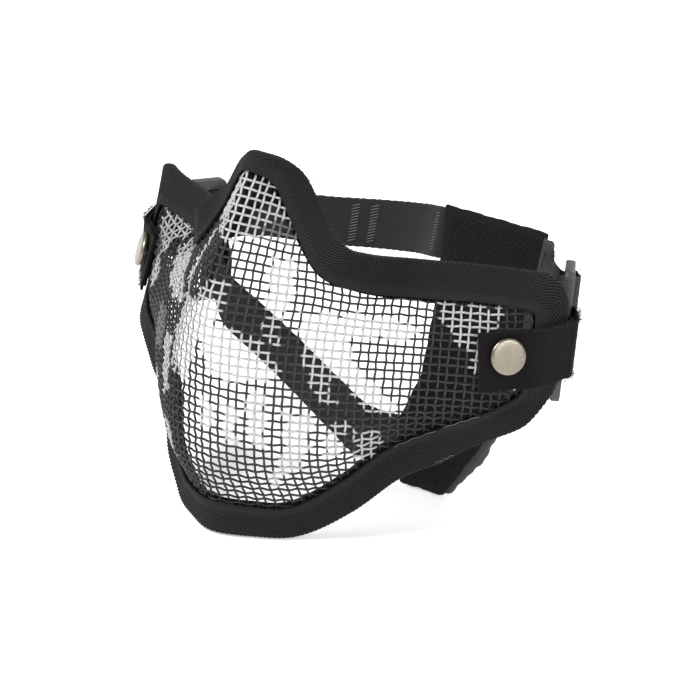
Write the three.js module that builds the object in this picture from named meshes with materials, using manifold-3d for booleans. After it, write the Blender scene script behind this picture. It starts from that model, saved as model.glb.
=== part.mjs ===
// Half face mask: a pressed shell of woven steel wire with a folded binding tape, two riveted
// side tabs that hold plastic rings, and an elastic strap harness with a flat rear panel.
// Millimetres. +Z is up, the face looks towards -Y, and +X is the wearer's left.
import * as THREE from 'three';
import { mergeVertices } from 'three/addons/utils/BufferGeometryUtils.js';
import Module from 'manifold-3d';

const wasm = await Module();
wasm.setup();

// ---------------------------------------------------------------- driving dimensions
const ORIGIN_Y = 28.2;            // the surface is drawn about the cheeks; this moves it to mid depth
const CLEARANCE = 0.35;           // gap kept between pieces that touch

const WIRE_SHEET_THICKNESS = 1.1; // two crossing wires
const WIRE_SHEET_MARGIN = 0.16;   // how far its edge stops short of the tape's fold, in rows
const TAPE_THICKNESS = 0.9;       // one layer of the binding tape
const TAPE_POCKET_GAP = 0.5;      // between the wire and each layer of the tape
const RIGHT_CORNER_LIFT = 4;      // the shell is bent by hand: its right rear corner stands higher
const COLUMN_STEP = 0.25;         // surface columns per facet, measured in columns

const TAB_HEIGHT = 20.5;
const TAB_FRONT_Z = 66.4;         // middle of the tab at its front edge and at its rear
const TAB_REAR_Z = 67.8;
const TAB_THICKNESS = 1;
const TAB_COLUMNS = [5.72, 7.9];  // surface columns where the tab starts and leaves the surface

const RIVET_COLUMN = 6.3;         // where the rivet sits on the surface
const RIVET_ROW = 3.15;
const RIVET_CAP_RADIUS = 6.3;
const RIVET_CAP_HEIGHT = 1.8;
const RIVET_CAP_RECESS = 0.9;     // hollow under the cap that takes the stem's end
const RIVET_STEM_RADIUS = 1.9;
const RIVET_HEAD_RADIUS = 4;
const WASHER_RADIUS = 5.6;
const WASHER_THICKNESS = 0.8;
const WASHER_GAP = 0.9;           // the wire is curved, so the flat washer stands off its middle

const RING_HEIGHT = 48;
const RING_BAR = 4;               // width of each side of the ring
const RING_THICKNESS = 3.4;
const RING_OUTER_CORNER = 3;
const RING_INNER_CORNER = 1;
const RING_BASE_Z = { left: 43.5, right: 39 };
const RING_FRONT = [78.4, 65.3];  // front bar, which the tab folds round
const RING_REAR = [73, 76.4];     // rear bar, which the harness folds round
const BAR_TURN_RADIUS = 3;        // room a bar needs to turn inside a fold

const LINK_THICKNESS = 1.1;
const LINK_HEIGHT = 36;           // gathered inside the ring
const LINK_EDGE_HEIGHT = 50;      // spread out where it is sewn to the panel
const LINK_Z = 68.5;
const LINK_SLACK = [67.6, 71.2, 71.4];  // how far the loose front layer stands out halfway
const LINK_FOLD_START = -2.06;    // where the link's front layer meets the ring's rear bar
const LINK_FOLD_END = 3;          // where its back layer leaves the bar again

const STRAP_THICKNESS = 1.5;
const STRAP_FACETS = 26;
const OPEN_PIVOT_SLACK = 0.7;     // extra room in the straps' loops round the right ring
const LOOP_END_ANGLE = 1.5;       // where a loop's sewn end leaves the bar, behind it
const LOOP_START_ANGLE = 5.2;     // where the strap itself leaves the bar, in front of it

const PANEL_THICKNESS = 1.5;
const LINING_THICKNESS = 1.2;

// ---------------------------------------------------------------- the face surface
// Columns run from the centre line to the wearer's left. Each one climbs through the tape's lower
// fold, the lower edge of the bare wire, jaw, mouth, cheekbone, the upper edge of the bare wire
// and the tape's upper fold. The right half is the mirror image.
const COLUMNS = [
  [
    [0, -22, 0.6], [0, -25.5, 13.5], [0, -33, 31], [0, -36, 57],
    [0, -36, 85], [0, -18.4, 126], [0, -8, 128.4],
  ],
  [
    [12, -16.5, 0.4], [11.5, -19.4, 12.6], [13, -29, 30], [13.5, -32, 57],
    [10, -30, 85], [6, -12.5, 121.5], [10.4, -2.8, 125],
  ],
  [
    [24, -7, 1], [21.8, -10.4, 12.8], [24.5, -19, 30], [25, -22, 56],
    [19, -20, 83], [13, -10, 108.5], [18, 0, 113],
  ],
  [
    [37, 3.6, 10], [33.4, -0.2, 22], [36, -8, 37], [36, -10.5, 56],
    [30, -11, 78], [23, -7.6, 94.2], [28, -1, 104],
  ],
  [
    [48, 14.8, 22], [44.1, 12, 33.8], [46.5, 5, 45], [46, 2.5, 58],
    [40.5, 0.5, 74], [32.6, 3.7, 87.8], [32.8, 8, 100],
  ],
  [
    [59.6, 23.4, 29.2], [58, 22.2, 42], [58.5, 18.5, 51], [57.5, 17.5, 62],
    [52, 17.5, 74], [43.1, 22, 83.4], [40, 26.8, 95.7],
  ],
  [
    [68, 29, 35.8], [69.3, 31, 47.6], [69.5, 30, 56], [69, 30.5, 66],
    [66, 32.5, 75], [60.8, 36.6, 82.6], [59.8, 42.2, 94.5],
  ],
  [
    [77.8, 39, 41], [76, 40.5, 52.6], [77.2, 41.5, 60], [77.6, 42.5, 67.5],
    [77.5, 43.5, 75], [76.3, 45.4, 82], [75.9, 49.5, 94.4],
  ],
  [
    [81.5, 50, 45], [82.4, 54.5, 54], [82.6, 56, 61], [82.7, 56.5, 68],
    [82.7, 56.5, 76], [82.8, 55.8, 84.5], [82.2, 54.8, 93.5],
  ],
];
const LAST_COLUMN = COLUMNS.length - 1;
const LAST_ROW = COLUMNS[0].length - 1;

const catmullRom = (a, b, c, d, t) =>
  0.5 * (2 * b + (c - a) * t + (2 * a - 5 * b + 4 * c - d) * t * t + (3 * b - 3 * c + d - a) * t ** 3);

// Blend the four neighbours of a place on a row of values; past an end the row runs on straight.
function along(at, last, place) {
  const start = Math.min(Math.floor(place), last - 1);
  const value = (i) => (i > last ? 2 * at(last) - at(2 * last - i) : at(i));
  return catmullRom(value(start - 1), value(start), value(start + 1), value(start + 2), place - start);
}

function surface(column, row) {
  const side = Math.sign(column) || 1;
  const place = Math.abs(column);
  const axisValue = (axis) => along((i) => {
    const points = COLUMNS[Math.abs(i)];
    const mirror = axis === 0 && i < 0 ? -1 : 1;
    const at = (j) => (j < 0 ? 2 * points[0][axis] - points[-j][axis] : points[j][axis]);
    return mirror * along(at, LAST_ROW, row);
  }, LAST_COLUMN, place);
  const point = new THREE.Vector3(side * axisValue(0), axisValue(1), axisValue(2));
  if (side < 0) {
    const nearRear = THREE.MathUtils.smoothstep(place, LAST_COLUMN - 2, LAST_COLUMN);
    const nearTop = THREE.MathUtils.smoothstep(row, LAST_ROW / 2, LAST_ROW);
    point.z += RIGHT_CORNER_LIFT * nearRear * nearTop;
  }
  return point;
}

// A point lifted off the surface by a height, away from the face.
function lifted(column, row, height) {
  const step = 0.05;
  const acrossRow = surface(column + step, row).sub(surface(column - step, row));
  const upColumn = surface(column, row + step).sub(surface(column, row - step));
  const normal = acrossRow.cross(upColumn).normalize();
  return surface(column, row).addScaledVector(normal, height);
}

// ---------------------------------------------------------------- solids
function closedGeometry(points, faces) {
  let volume = 0;
  for (const [a, b, c] of faces) {
    volume += points[a].dot(points[b].clone().cross(points[c]));
  }
  const outward = volume > 0 ? faces : faces.map(([a, b, c]) => [a, c, b]);
  const geometry = new THREE.BufferGeometry();
  const coordinates = points.flatMap((p) => p.toArray());
  geometry.setAttribute('position', new THREE.Float32BufferAttribute(coordinates, 3));
  geometry.setIndex(outward.flat());
  geometry.computeVertexNormals();
  return geometry;
}

// Skin a run of equal sections. A closed run joins its end to its start, an open one gets flat ends.
function skin(sections, closed) {
  const size = sections[0].length;
  const points = sections.flat();
  const faces = [];
  const spans = closed ? sections.length : sections.length - 1;
  for (let i = 0; i < spans; i++) {
    const here = i * size;
    const next = ((i + 1) % sections.length) * size;
    for (let j = 0; j < size; j++) {
      const k = (j + 1) % size;
      faces.push([here + j, next + j, next + k], [here + j, next + k, here + k]);
    }
  }
  if (!closed) {
    const end = (sections.length - 1) * size;
    for (let j = 1; j < size - 1; j++) {
      faces.push([0, j, j + 1], [end, end + j + 1, end + j]);
    }
  }
  return closedGeometry(points, faces);
}

// A flat strap swept along stations { at, up, height }, each with its own lean.
function band(stations, thickness) {
  const sections = stations.map(({ at, up, height }, i) => {
    const before = stations[Math.max(i - 1, 0)].at;
    const after = stations[Math.min(i + 1, stations.length - 1)].at;
    const forward = after.clone().sub(before).normalize();
    const rise = up.clone().normalize();
    const out = forward.clone().cross(rise).normalize();
    const corner = (h, t) => at.clone()
      .addScaledVector(rise, h * height)
      .addScaledVector(out, t * thickness);
    return [corner(-0.5, -0.5), corner(-0.5, 0.5), corner(0.5, 0.5), corner(0.5, -0.5)];
  });
  return skin(sections, false);
}

function toManifold(geometry) {
  const bare = geometry.clone();
  bare.deleteAttribute('normal');
  bare.deleteAttribute('uv');
  const merged = mergeVertices(bare);
  return new wasm.Manifold(new wasm.Mesh({
    numProp: 3,
    vertProperties: new Float32Array(merged.attributes.position.array),
    triVerts: new Uint32Array(merged.index.array),
  }));
}

function fromManifold(solid) {
  const { vertProperties, triVerts } = solid.getMesh();
  const geometry = new THREE.BufferGeometry();
  geometry.setAttribute('position', new THREE.BufferAttribute(new Float32Array(vertProperties), 3));
  geometry.setIndex(new THREE.BufferAttribute(new Uint32Array(triVerts), 1));
  geometry.computeVertexNormals();
  return geometry;
}

// ---------------------------------------------------------------- colours
const looks = {
  wire: { color: '#8d8f8e', roughness: 0.45, metalness: 0.4 },
  tape: { color: '#161617', roughness: 0.9, metalness: 0 },
  tab: { color: '#1b1a1b', roughness: 1, metalness: 0 },
  nickel: { color: '#c9c2b4', roughness: 0.25, metalness: 1 },
  plastic: { color: '#4c4c4e', roughness: 0.5, metalness: 0 },
  elastic: { color: '#222224', roughness: 0.9, metalness: 0 },
  panel: { color: '#1d1d1e', roughness: 1, metalness: 0 },
  lining: { color: '#3f3f41', roughness: 0.7, metalness: 0 },
};

const mask = new THREE.Group();
mask.position.y = -ORIGIN_Y;

function add(name, geometry, look) {
  const mesh = new THREE.Mesh(geometry, new THREE.MeshStandardMaterial(looks[look]));
  mesh.name = name;
  mask.add(mesh);
}

// ---------------------------------------------------------------- rivet axes
// A frame at each rivet whose Y axis points straight out of the wire.
function rivetFrame(side) {
  const at = lifted(side * RIVET_COLUMN, RIVET_ROW, 0);
  const out = lifted(side * RIVET_COLUMN, RIVET_ROW, 1).sub(at).normalize();
  const turn = new THREE.Quaternion().setFromUnitVectors(new THREE.Vector3(0, 1, 0), out);
  return new THREE.Matrix4().compose(at, turn, new THREE.Vector3(1, 1, 1));
}

function rivetDrill(side) {
  const radius = RIVET_STEM_RADIUS + CLEARANCE;
  const [length, facets] = [16, 16];
  const drill = new THREE.CylinderGeometry(radius, radius, length, facets);
  return toManifold(drill.applyMatrix4(rivetFrame(side)));
}

// ---------------------------------------------------------------- wire shell
// The outline's four corners are rounded by a quarter circle one column and one row in size.
function cornerCut(column) {
  const past = Math.max(Math.abs(column) - (LAST_COLUMN - 1), 0);
  return 1 - Math.sqrt(1 - Math.min(past, 1) ** 2);
}

// Rows fall on whole and half rows, as the tape's do, so that both are faceted alike.
function sheetRows() {
  const rows = [WIRE_SHEET_MARGIN];
  for (let row = 0.5; row < LAST_ROW; row += 0.5) rows.push(row);
  rows.push(LAST_ROW - WIRE_SHEET_MARGIN);
  return rows.map((row) => (row - WIRE_SHEET_MARGIN) / (LAST_ROW - 2 * WIRE_SHEET_MARGIN));
}

function wireShell() {
  const edge = LAST_COLUMN - WIRE_SHEET_MARGIN;
  const almostEdge = LAST_COLUMN - 0.05;
  const steps = Math.round(2 * LAST_COLUMN / COLUMN_STEP);
  const half = WIRE_SHEET_THICKNESS / 2;
  const sections = [];
  for (let i = 0; i <= steps; i++) {
    const column = -edge + 2 * edge * i / steps;
    const low = cornerCut(column / edge * almostEdge) + WIRE_SHEET_MARGIN;
    const outer = [];
    const inner = [];
    for (const share of sheetRows()) {
      const row = low + (LAST_ROW - 2 * low) * share;
      outer.push(lifted(column, row, half));
      inner.unshift(lifted(column, row, -half));
    }
    sections.push([...outer, ...inner]);
  }
  return sections;
}

// Flat ends of the shell are thin strips, so they are closed quad by quad across the thickness.
function shellGeometry(sections) {
  const size = sections[0].length;
  const points = sections.flat();
  const faces = [];
  for (let i = 0; i < sections.length - 1; i++) {
    for (let j = 0; j < size; j++) {
      const k = (j + 1) % size;
      const [here, next] = [i * size, (i + 1) * size];
      faces.push([here + j, next + j, next + k], [here + j, next + k, here + k]);
    }
  }
  for (const [start, flip] of [[0, false], [(sections.length - 1) * size, true]]) {
    for (let j = 0; j < size / 2 - 1; j++) {
      const [a, b, c, d] = [j, j + 1, size - 2 - j, size - 1 - j].map((n) => start + n);
      faces.push(flip ? [a, c, b] : [a, b, c], flip ? [a, d, c] : [a, c, d]);
    }
  }
  return closedGeometry(points, faces);
}

const shell = toManifold(shellGeometry(wireShell()))
  .subtract(rivetDrill(1))
  .subtract(rivetDrill(-1));
add('wire_mesh_shell', fromManifold(shell), 'wire');

// ---------------------------------------------------------------- binding tape
// A place on the rim: depth 0 is the fold, depth 1 the tape's inner edge. The path is a rounded
// rectangle on the surface, walked once round from the lower right.
function rimPath(depth) {
  const [foldRadius, innerRadius] = [1, 0.25];
  const radius = foldRadius + (innerRadius - foldRadius) * depth;
  const columns = LAST_COLUMN - depth - radius;
  const rows = LAST_ROW / 2 - depth - radius;
  const middle = LAST_ROW / 2;
  const places = [];
  const line = (from, to, count) => {
    for (let i = 0; i < count; i++) {
      const t = i / count;
      places.push([from[0] + (to[0] - from[0]) * t, from[1] + (to[1] - from[1]) * t]);
    }
  };
  const corner = (column, row, startAngle, count) => {
    for (let i = 0; i < count; i++) {
      const angle = startAngle + Math.PI / 2 * i / count;
      places.push([column + radius * Math.cos(angle), row + radius * Math.sin(angle)]);
    }
  };
  const [longCount, endCount, cornerCount] = [56, 6, 4];
  line([-columns, middle - rows - radius], [columns, middle - rows - radius], longCount);
  corner(columns, middle - rows, -Math.PI / 2, cornerCount);
  line([columns + radius, middle - rows], [columns + radius, middle + rows], endCount);
  corner(columns, middle + rows, 0, cornerCount);
  line([columns, middle + rows + radius], [-columns, middle + rows + radius], longCount);
  corner(-columns, middle + rows, Math.PI / 2, cornerCount);
  line([-columns - radius, middle + rows], [-columns - radius, middle - rows], endCount);
  corner(-columns, middle - rows, Math.PI, cornerCount);
  return places;
}

function bindingTape() {
  const inside = WIRE_SHEET_THICKNESS / 2 + TAPE_POCKET_GAP;
  const outside = inside + TAPE_THICKNESS;
  const fold = 0.07;              // depth of the fold's inner face
  const bevel = 0.06;
  const crease = inside * 0.7;
  const section = [
    [1, outside], [0.5, outside], [bevel, outside], [0, crease], [0, -crease], [bevel, -outside],
    [0.5, -outside], [1, -outside], [1, -inside], [0.5, -inside], [fold, -inside], [fold, inside],
    [0.5, inside], [1, inside],
  ];
  const paths = section.map(([depth]) => rimPath(depth));
  return paths[0].map((_, i) => section.map(([, height], j) => lifted(...paths[j][i], height)));
}

add('binding_tape', skin(bindingTape(), true), 'tape');

// ---------------------------------------------------------------- pieces on both sides
const UP = new THREE.Vector3(0, 0, 1);

// Points round a bar, from one side of it to the other, for a strap that folds back on itself.
function foldRound(centre, radius, startAngle, endAngle, z, count = 7) {
  const points = [];
  for (let i = 0; i <= count; i++) {
    const angle = startAngle + (endAngle - startAngle) * i / count;
    const [x, y] = [centre[0] + radius * Math.cos(angle), centre[1] + radius * Math.sin(angle)];
    points.push(new THREE.Vector3(x, y, z));
  }
  return points;
}

function mirrored(geometry, side) {
  if (side > 0) return geometry;
  const copy = geometry.clone().applyMatrix4(new THREE.Matrix4().makeScale(-1, 1, 1));
  const index = copy.index.array;
  for (let i = 0; i < index.length; i += 3) {
    [index[i + 1], index[i + 2]] = [index[i + 2], index[i + 1]];
  }
  copy.computeVertexNormals();
  return copy;
}

// The tab starts on the bare wire, runs back over the tape, folds round the ring's front bar and
// comes forward again between itself and the mask, so that the rivet holds both layers.
function tabGeometry() {
  const onWire = WIRE_SHEET_THICKNESS / 2 + CLEARANCE + TAB_THICKNESS / 2;
  const onTape = onWire + TAPE_POCKET_GAP + TAPE_THICKNESS;
  const layer = TAB_THICKNESS + CLEARANCE;
  const [front, rear] = TAB_COLUMNS;
  const places = [
    [front, onWire], [6, onWire], [6.3, onWire], [6.65, onWire + 0.3],
    [7, onTape], [7.45, onTape], [rear, onTape],
  ];
  const run = (height) => places.map(([column, lift]) => {
    const share = (column - front) / (rear - front);
    const tangent = surface(column, RIVET_ROW + 0.5).sub(surface(column, RIVET_ROW - 0.5)).normalize();
    const at = lifted(column, RIVET_ROW - 0.1, lift + height);
    at.z = THREE.MathUtils.lerp(TAB_FRONT_Z, TAB_REAR_Z, share);
    return { at, up: tangent.lerp(UP, 0.3 + 0.7 * share), height: TAB_HEIGHT };
  });
  // Stations that carry the band round the mask's rear edge, measured back and out from that edge.
  const rim = surface(LAST_COLUMN, RIVET_ROW);
  const past = (back, out) => ({
    at: new THREE.Vector3(rim.x + 0.45 * back + 0.9 * out, rim.y + 0.9 * back - 0.45 * out, TAB_REAR_Z),
    up: UP,
    height: TAB_HEIGHT,
  });
  const fold = foldRound(RING_FRONT, BAR_TURN_RADIUS + TAB_THICKNESS / 2, 0.6, 4.4, TAB_REAR_Z)
    .map((at) => ({ at, up: UP, height: TAB_HEIGHT }));
  const stations = [...run(layer), past(1.9, onTape + 0.9), ...fold, past(2.3, 0.4), past(1.6, 1.8),
    ...run(0).slice(1).reverse()];
  return band(stations, TAB_THICKNESS);
}

function ringGeometry(baseZ) {
  const [dx, dy] = [RING_REAR[0] - RING_FRONT[0], RING_REAR[1] - RING_FRONT[1]];
  const length = Math.hypot(dx, dy) + RING_BAR;
  const roundedBox = (width, height, radius, Kind) => {
    const [x, y] = [width / 2 - radius, height / 2 - radius];
    const shape = new Kind();
    shape.absarc(x, -y, radius, -Math.PI / 2, 0);
    shape.absarc(x, y, radius, 0, Math.PI / 2);
    shape.absarc(-x, y, radius, Math.PI / 2, Math.PI);
    shape.absarc(-x, -y, radius, Math.PI, 1.5 * Math.PI);
    shape.closePath();
    return shape;
  };
  const slotLength = length - 2 * RING_BAR;
  const slotHeight = RING_HEIGHT - 2 * RING_BAR;
  const shape = roundedBox(length, RING_HEIGHT, RING_OUTER_CORNER, THREE.Shape);
  shape.holes.push(roundedBox(slotLength, slotHeight, RING_INNER_CORNER, THREE.Path));
  const geometry = new THREE.ExtrudeGeometry(shape, {
    depth: RING_THICKNESS,
    bevelEnabled: false,
    curveSegments: 3,
  });
  geometry.translate(0, 0, -RING_THICKNESS / 2);
  geometry.rotateX(Math.PI / 2);
  geometry.rotateZ(Math.atan2(dy, dx));
  geometry.translate(RING_FRONT[0] + dx / 2, RING_FRONT[1] + dy / 2, baseZ + RING_HEIGHT / 2);
  return mergeVertices(geometry);
}

const lathe = (profile, segments) =>
  new THREE.LatheGeometry(profile.map(([r, y]) => new THREE.Vector2(r, y)), segments);

function rivetPieces(side) {
  const frame = rivetFrame(side);
  // From the middle of the wire to the cap's underside: both layers of the tab lie between, and
  // they are curved, so the flat cap stands off a little more.
  const bulge = 0.65;
  const stack = WIRE_SHEET_THICKNESS / 2 + 3 * CLEARANCE + 2 * TAB_THICKNESS + bulge;
  const hole = RIVET_STEM_RADIUS + CLEARANCE;
  const cap = RIVET_CAP_RADIUS;
  const capTop = stack + RIVET_CAP_HEIGHT;
  const capProfile = [
    [0, capTop], [cap - 1.5, capTop], [cap - 0.6, capTop - 0.4], [cap, capTop - 1.2], [cap - 0.2, stack],
    [hole, stack], [hole, stack + RIVET_CAP_RECESS], [0, stack + RIVET_CAP_RECESS],
  ];
  const washerTop = -WIRE_SHEET_THICKNESS / 2 - WASHER_GAP;
  const washerFoot = washerTop - WASHER_THICKNESS;
  const washerProfile = [
    [hole, washerTop], [WASHER_RADIUS, washerTop], [WASHER_RADIUS, washerFoot],
    [hole, washerFoot], [hole, washerTop],
  ];
  const headTop = washerFoot - CLEARANCE;
  const stemTop = stack + RIVET_CAP_RECESS - CLEARANCE;
  const stemProfile = [
    [0, headTop - 1.2], [RIVET_HEAD_RADIUS - 0.6, headTop - 0.9], [RIVET_HEAD_RADIUS, headTop],
    [RIVET_STEM_RADIUS, headTop], [RIVET_STEM_RADIUS, stemTop], [0, stemTop],
  ];
  return [
    ['rivet_cap', lathe(capProfile, 24)],
    ['rivet_washer', lathe(washerProfile, 20)],
    ['rivet_stem', lathe(stemProfile, 16)],
  ].map(([name, geometry]) => [name, fromManifold(orient(geometry).transform(frame.elements))]);
}

// A lathe's winding depends on its profile's direction, so a solid turned inside out is flipped.
function orient(geometry) {
  const solid = toManifold(geometry);
  if (solid.volume() > 0) return solid;
  const flipped = mergeVertices(geometry);
  const index = flipped.index.array;
  for (let i = 0; i < index.length; i += 3) {
    [index[i + 1], index[i + 2]] = [index[i + 2], index[i + 1]];
  }
  return toManifold(flipped);
}

for (const [side, word] of [[1, 'left'], [-1, 'right']]) {
  const tab = toManifold(mirrored(tabGeometry(), side)).subtract(rivetDrill(side));
  add(`side_tab_${word}`, fromManifold(tab), 'tab');
  add(`strap_ring_${word}`, mirrored(ringGeometry(RING_BASE_Z[word]), side), 'plastic');
  for (const [name, geometry] of rivetPieces(side)) {
    add(`${name}_${word}`, geometry, 'nickel');
  }
}

// ---------------------------------------------------------------- harness
// The rear panel leans back: its plane passes through a line at the floor and a line at the top.
const PANEL_TOP = new THREE.Vector3(42, 78, 98);
const PANEL_FOOT = new THREE.Vector3(42, 54, 0.6);
const panelUp = PANEL_TOP.clone().sub(PANEL_FOOT).normalize();
const panelOut = new THREE.Vector3(1, 0, 0).cross(panelUp);  // towards the mask
const panelPoint = (x, up, out = 0) => new THREE.Vector3(x, PANEL_FOOT.y, PANEL_FOOT.z)
  .addScaledVector(panelUp, up)
  .addScaledVector(panelOut, out);

function panelLayer(outline, front, thickness) {
  const shape = new THREE.Shape(outline.map(([x, up]) => new THREE.Vector2(x, up)));
  const geometry = new THREE.ExtrudeGeometry(shape, { depth: thickness, bevelEnabled: false });
  const basis = new THREE.Matrix4().makeBasis(new THREE.Vector3(1, 0, 0), panelUp, panelOut);
  basis.setPosition(panelPoint(0, 0, front - thickness));
  return mergeVertices(geometry.applyMatrix4(basis));
}

// Outlines as [sideways, up the panel]. The lining stands out past the panel low on the left.
const PANEL_OUTLINE = [
  [27, 0], [45, 0], [56.5, 24], [61.5, 50], [62.5, 100.5], [21, 101.3], [25, 70], [26, 40], [21, 22],
];
const LINING_OUTLINE = [[30, 1], [47.5, 1], [51, 8], [56, 14], [59.5, 24], [63, 34], [60.5, 44], [60.5, 96],
  [24, 96], [27, 70], [28, 40], [24, 22]];
add('rear_panel', panelLayer(PANEL_OUTLINE, 0, PANEL_THICKNESS), 'panel');
const liningFront = -PANEL_THICKNESS - CLEARANCE;
add('rear_panel_lining', panelLayer(LINING_OUTLINE, liningFront, LINING_THICKNESS), 'lining');

// Ribbed elastic on the left: its two ends lie either side of the panel's edge and it folds round
// the ring's rear bar.
function leftLink() {
  const [edgeX, edgeUp] = [63.1, 73];
  const [frontSide, backSide] = [0.9, -2.4];
  const atEdge = (out) => ({ at: panelPoint(edgeX, edgeUp, out), up: panelUp, height: LINK_EDGE_HEIGHT });
  const radius = BAR_TURN_RADIUS + LINK_THICKNESS / 2;
  const fold = foldRound(RING_REAR, radius, LINK_FOLD_START, LINK_FOLD_END, LINK_Z)
    .map((at) => ({ at, up: UP, height: LINK_HEIGHT }));
  const slack = {
    at: new THREE.Vector3(...LINK_SLACK),
    up: panelUp.clone().lerp(UP, 0.5),
    height: (LINK_EDGE_HEIGHT + LINK_HEIGHT) / 2,
  };
  return band([atEdge(frontSide), slack, ...fold, atEdge(backSide)], LINK_THICKNESS);
}
add('ribbed_elastic_link', leftLink(), 'elastic');

// A strap that starts as a loop round the right ring's rear bar and ends at the rear panel. The
// loop's short end lies behind the strap, where it is sewn down.
function strap({ points, height, barZ }) {
  const centre = [-RING_REAR[0], RING_REAR[1]];
  const radius = BAR_TURN_RADIUS + OPEN_PIVOT_SLACK + STRAP_THICKNESS / 2;
  const loop = foldRound(centre, radius, LOOP_END_ANGLE, LOOP_START_ANGLE, barZ);
  const leaving = loop.pop();
  const path = points.map((point) => new THREE.Vector3(...point));
  const tail = path[0].clone().lerp(leaving, 0.35);
  tail.y += STRAP_THICKNESS + 2 * CLEARANCE + 2.2;
  const run = new THREE.CatmullRomCurve3([leaving, ...path], false, 'centripetal')
    .getSpacedPoints(STRAP_FACETS)
    .map((at, i) => ({ at, up: UP.clone().lerp(panelUp, i / STRAP_FACETS), height }));
  return band([...[tail, ...loop].map((at) => ({ at, up: UP, height })), ...run], STRAP_THICKNESS);
}

const UPPER_STRAP = {
  points: [[-56, 79, 77], [-36, 89, 76.6], [-12, 92, 80], [8, 87, 84.4], [20.2, 76.4, 88]],
  height: 18.5,
  barZ: 73.6,
};
const LOWER_STRAP = {
  points: [
    [-60, 66, 45], [-45, 65.5, 37.2], [-28, 64.8, 28.7], [-6, 61.2, 18.8], [8, 58.4, 13.8], [20.2, 58, 13.2],
  ],
  height: 20,
  barZ: 53.4,
};
add('upper_strap', strap(UPPER_STRAP), 'elastic');
add('lower_strap', strap(LOWER_STRAP), 'elastic');

export default mask;
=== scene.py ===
import math

import bpy
import numpy as np
from mathutils import Matrix, Vector


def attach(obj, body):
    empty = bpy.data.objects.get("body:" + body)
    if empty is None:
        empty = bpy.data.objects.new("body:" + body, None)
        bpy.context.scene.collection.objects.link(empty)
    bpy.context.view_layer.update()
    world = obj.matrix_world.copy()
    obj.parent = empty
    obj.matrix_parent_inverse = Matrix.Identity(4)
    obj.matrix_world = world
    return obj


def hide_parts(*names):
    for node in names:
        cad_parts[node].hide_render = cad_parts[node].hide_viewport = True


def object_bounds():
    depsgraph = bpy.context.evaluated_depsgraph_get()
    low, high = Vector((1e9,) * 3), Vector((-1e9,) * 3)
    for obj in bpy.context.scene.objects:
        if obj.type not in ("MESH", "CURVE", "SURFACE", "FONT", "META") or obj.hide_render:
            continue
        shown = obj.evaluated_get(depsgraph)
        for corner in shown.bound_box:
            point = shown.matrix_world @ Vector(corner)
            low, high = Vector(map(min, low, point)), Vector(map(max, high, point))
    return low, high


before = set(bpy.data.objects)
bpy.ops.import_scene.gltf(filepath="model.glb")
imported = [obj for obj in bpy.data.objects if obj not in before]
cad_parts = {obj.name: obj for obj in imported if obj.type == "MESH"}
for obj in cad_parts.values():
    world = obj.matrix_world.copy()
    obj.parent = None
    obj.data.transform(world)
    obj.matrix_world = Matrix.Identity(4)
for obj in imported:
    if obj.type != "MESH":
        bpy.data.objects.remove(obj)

# Half face mask of printed woven wire with a twill binding, riveted tabs, rings and elastic straps.
# Shapes are worked out in millimetres, where +Z is up, the face looks towards -Y and +X is the
# wearer's left, and they are moved into the frame's metres when a piece is made.

CAD_BOX = [list(corner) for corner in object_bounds()]
MM = 0.001
ORIGIN_Y = 28.2  # the surface is drawn about the cheeks; this moves it to mid depth
RANDOM = np.random.default_rng(7)

# ---------------------------------------------------------------- driving dimensions, as in the CAD
WIRE_SHEET_THICKNESS = 1.1
TAPE_THICKNESS = 0.9
TAPE_POCKET_GAP = 0.5
RIB_PROFILE = [-0.9, 0.35, 1.0, 0.35]  # heights along one rib of the tape, from its groove
TAPE_FACE = WIRE_SHEET_THICKNESS / 2 + TAPE_POCKET_GAP + TAPE_THICKNESS  # off the sheet's middle
CLEARANCE = 0.35
RIGHT_CORNER_LIFT = 4.0

TAB_HEIGHT = 20.5
TAB_FRONT_Z = 66.4
TAB_REAR_Z = 67.8
TAB_THICKNESS = 1.0
TAB_COLUMNS = (5.72, 7.9)

RIVET_COLUMN = 6.3
RIVET_ROW = 3.15
RIVET_CAP_RADIUS = 6.3
RIVET_CAP_HEIGHT = 1.8
RIVET_CAP_RECESS = 0.9
RIVET_STEM_RADIUS = 1.9
RIVET_HEAD_RADIUS = 4.0
WASHER_RADIUS = 5.6
WASHER_THICKNESS = 0.8
WASHER_GAP = 0.9

RING_HEIGHT = 48.0
RING_BAR = 4.0
RING_THICKNESS = 3.4
RING_OUTER_CORNER = 3.0
RING_INNER_CORNER = 1.0
RING_BASE_Z = {"left": 43.5, "right": 39.0}
RING_FRONT = np.array([78.4, 65.3])
RING_REAR = np.array([73.0, 76.4])
BAR_TURN_RADIUS = 3.0

LINK_THICKNESS = 1.1
LINK_HEIGHT = 36.0  # gathered inside the ring
LINK_EDGE_HEIGHT = 50.0  # spread out where it is sewn to the panel
LINK_EDGE_X = 63.1  # where its layers come out from the panel, on the panel's own plane
LINK_EDGE_UP = 73.0
LINK_Z = 68.5
LINK_FOLD = (-2.06, 3.0)  # angles at which it starts and ends its turn round the ring's rear bar
LINK_SLACK = (67.6, 71.2, 71.4)  # how far its loose front layer stands out halfway

STRAP_THICKNESS = 1.5
OPEN_PIVOT_SLACK = 0.7
LOOP_TURN = (1.5, 5.2)  # angles at which a strap's loop starts and ends its turn round the bar

PANEL_THICKNESS = 1.5
LINING_THICKNESS = 1.2

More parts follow.
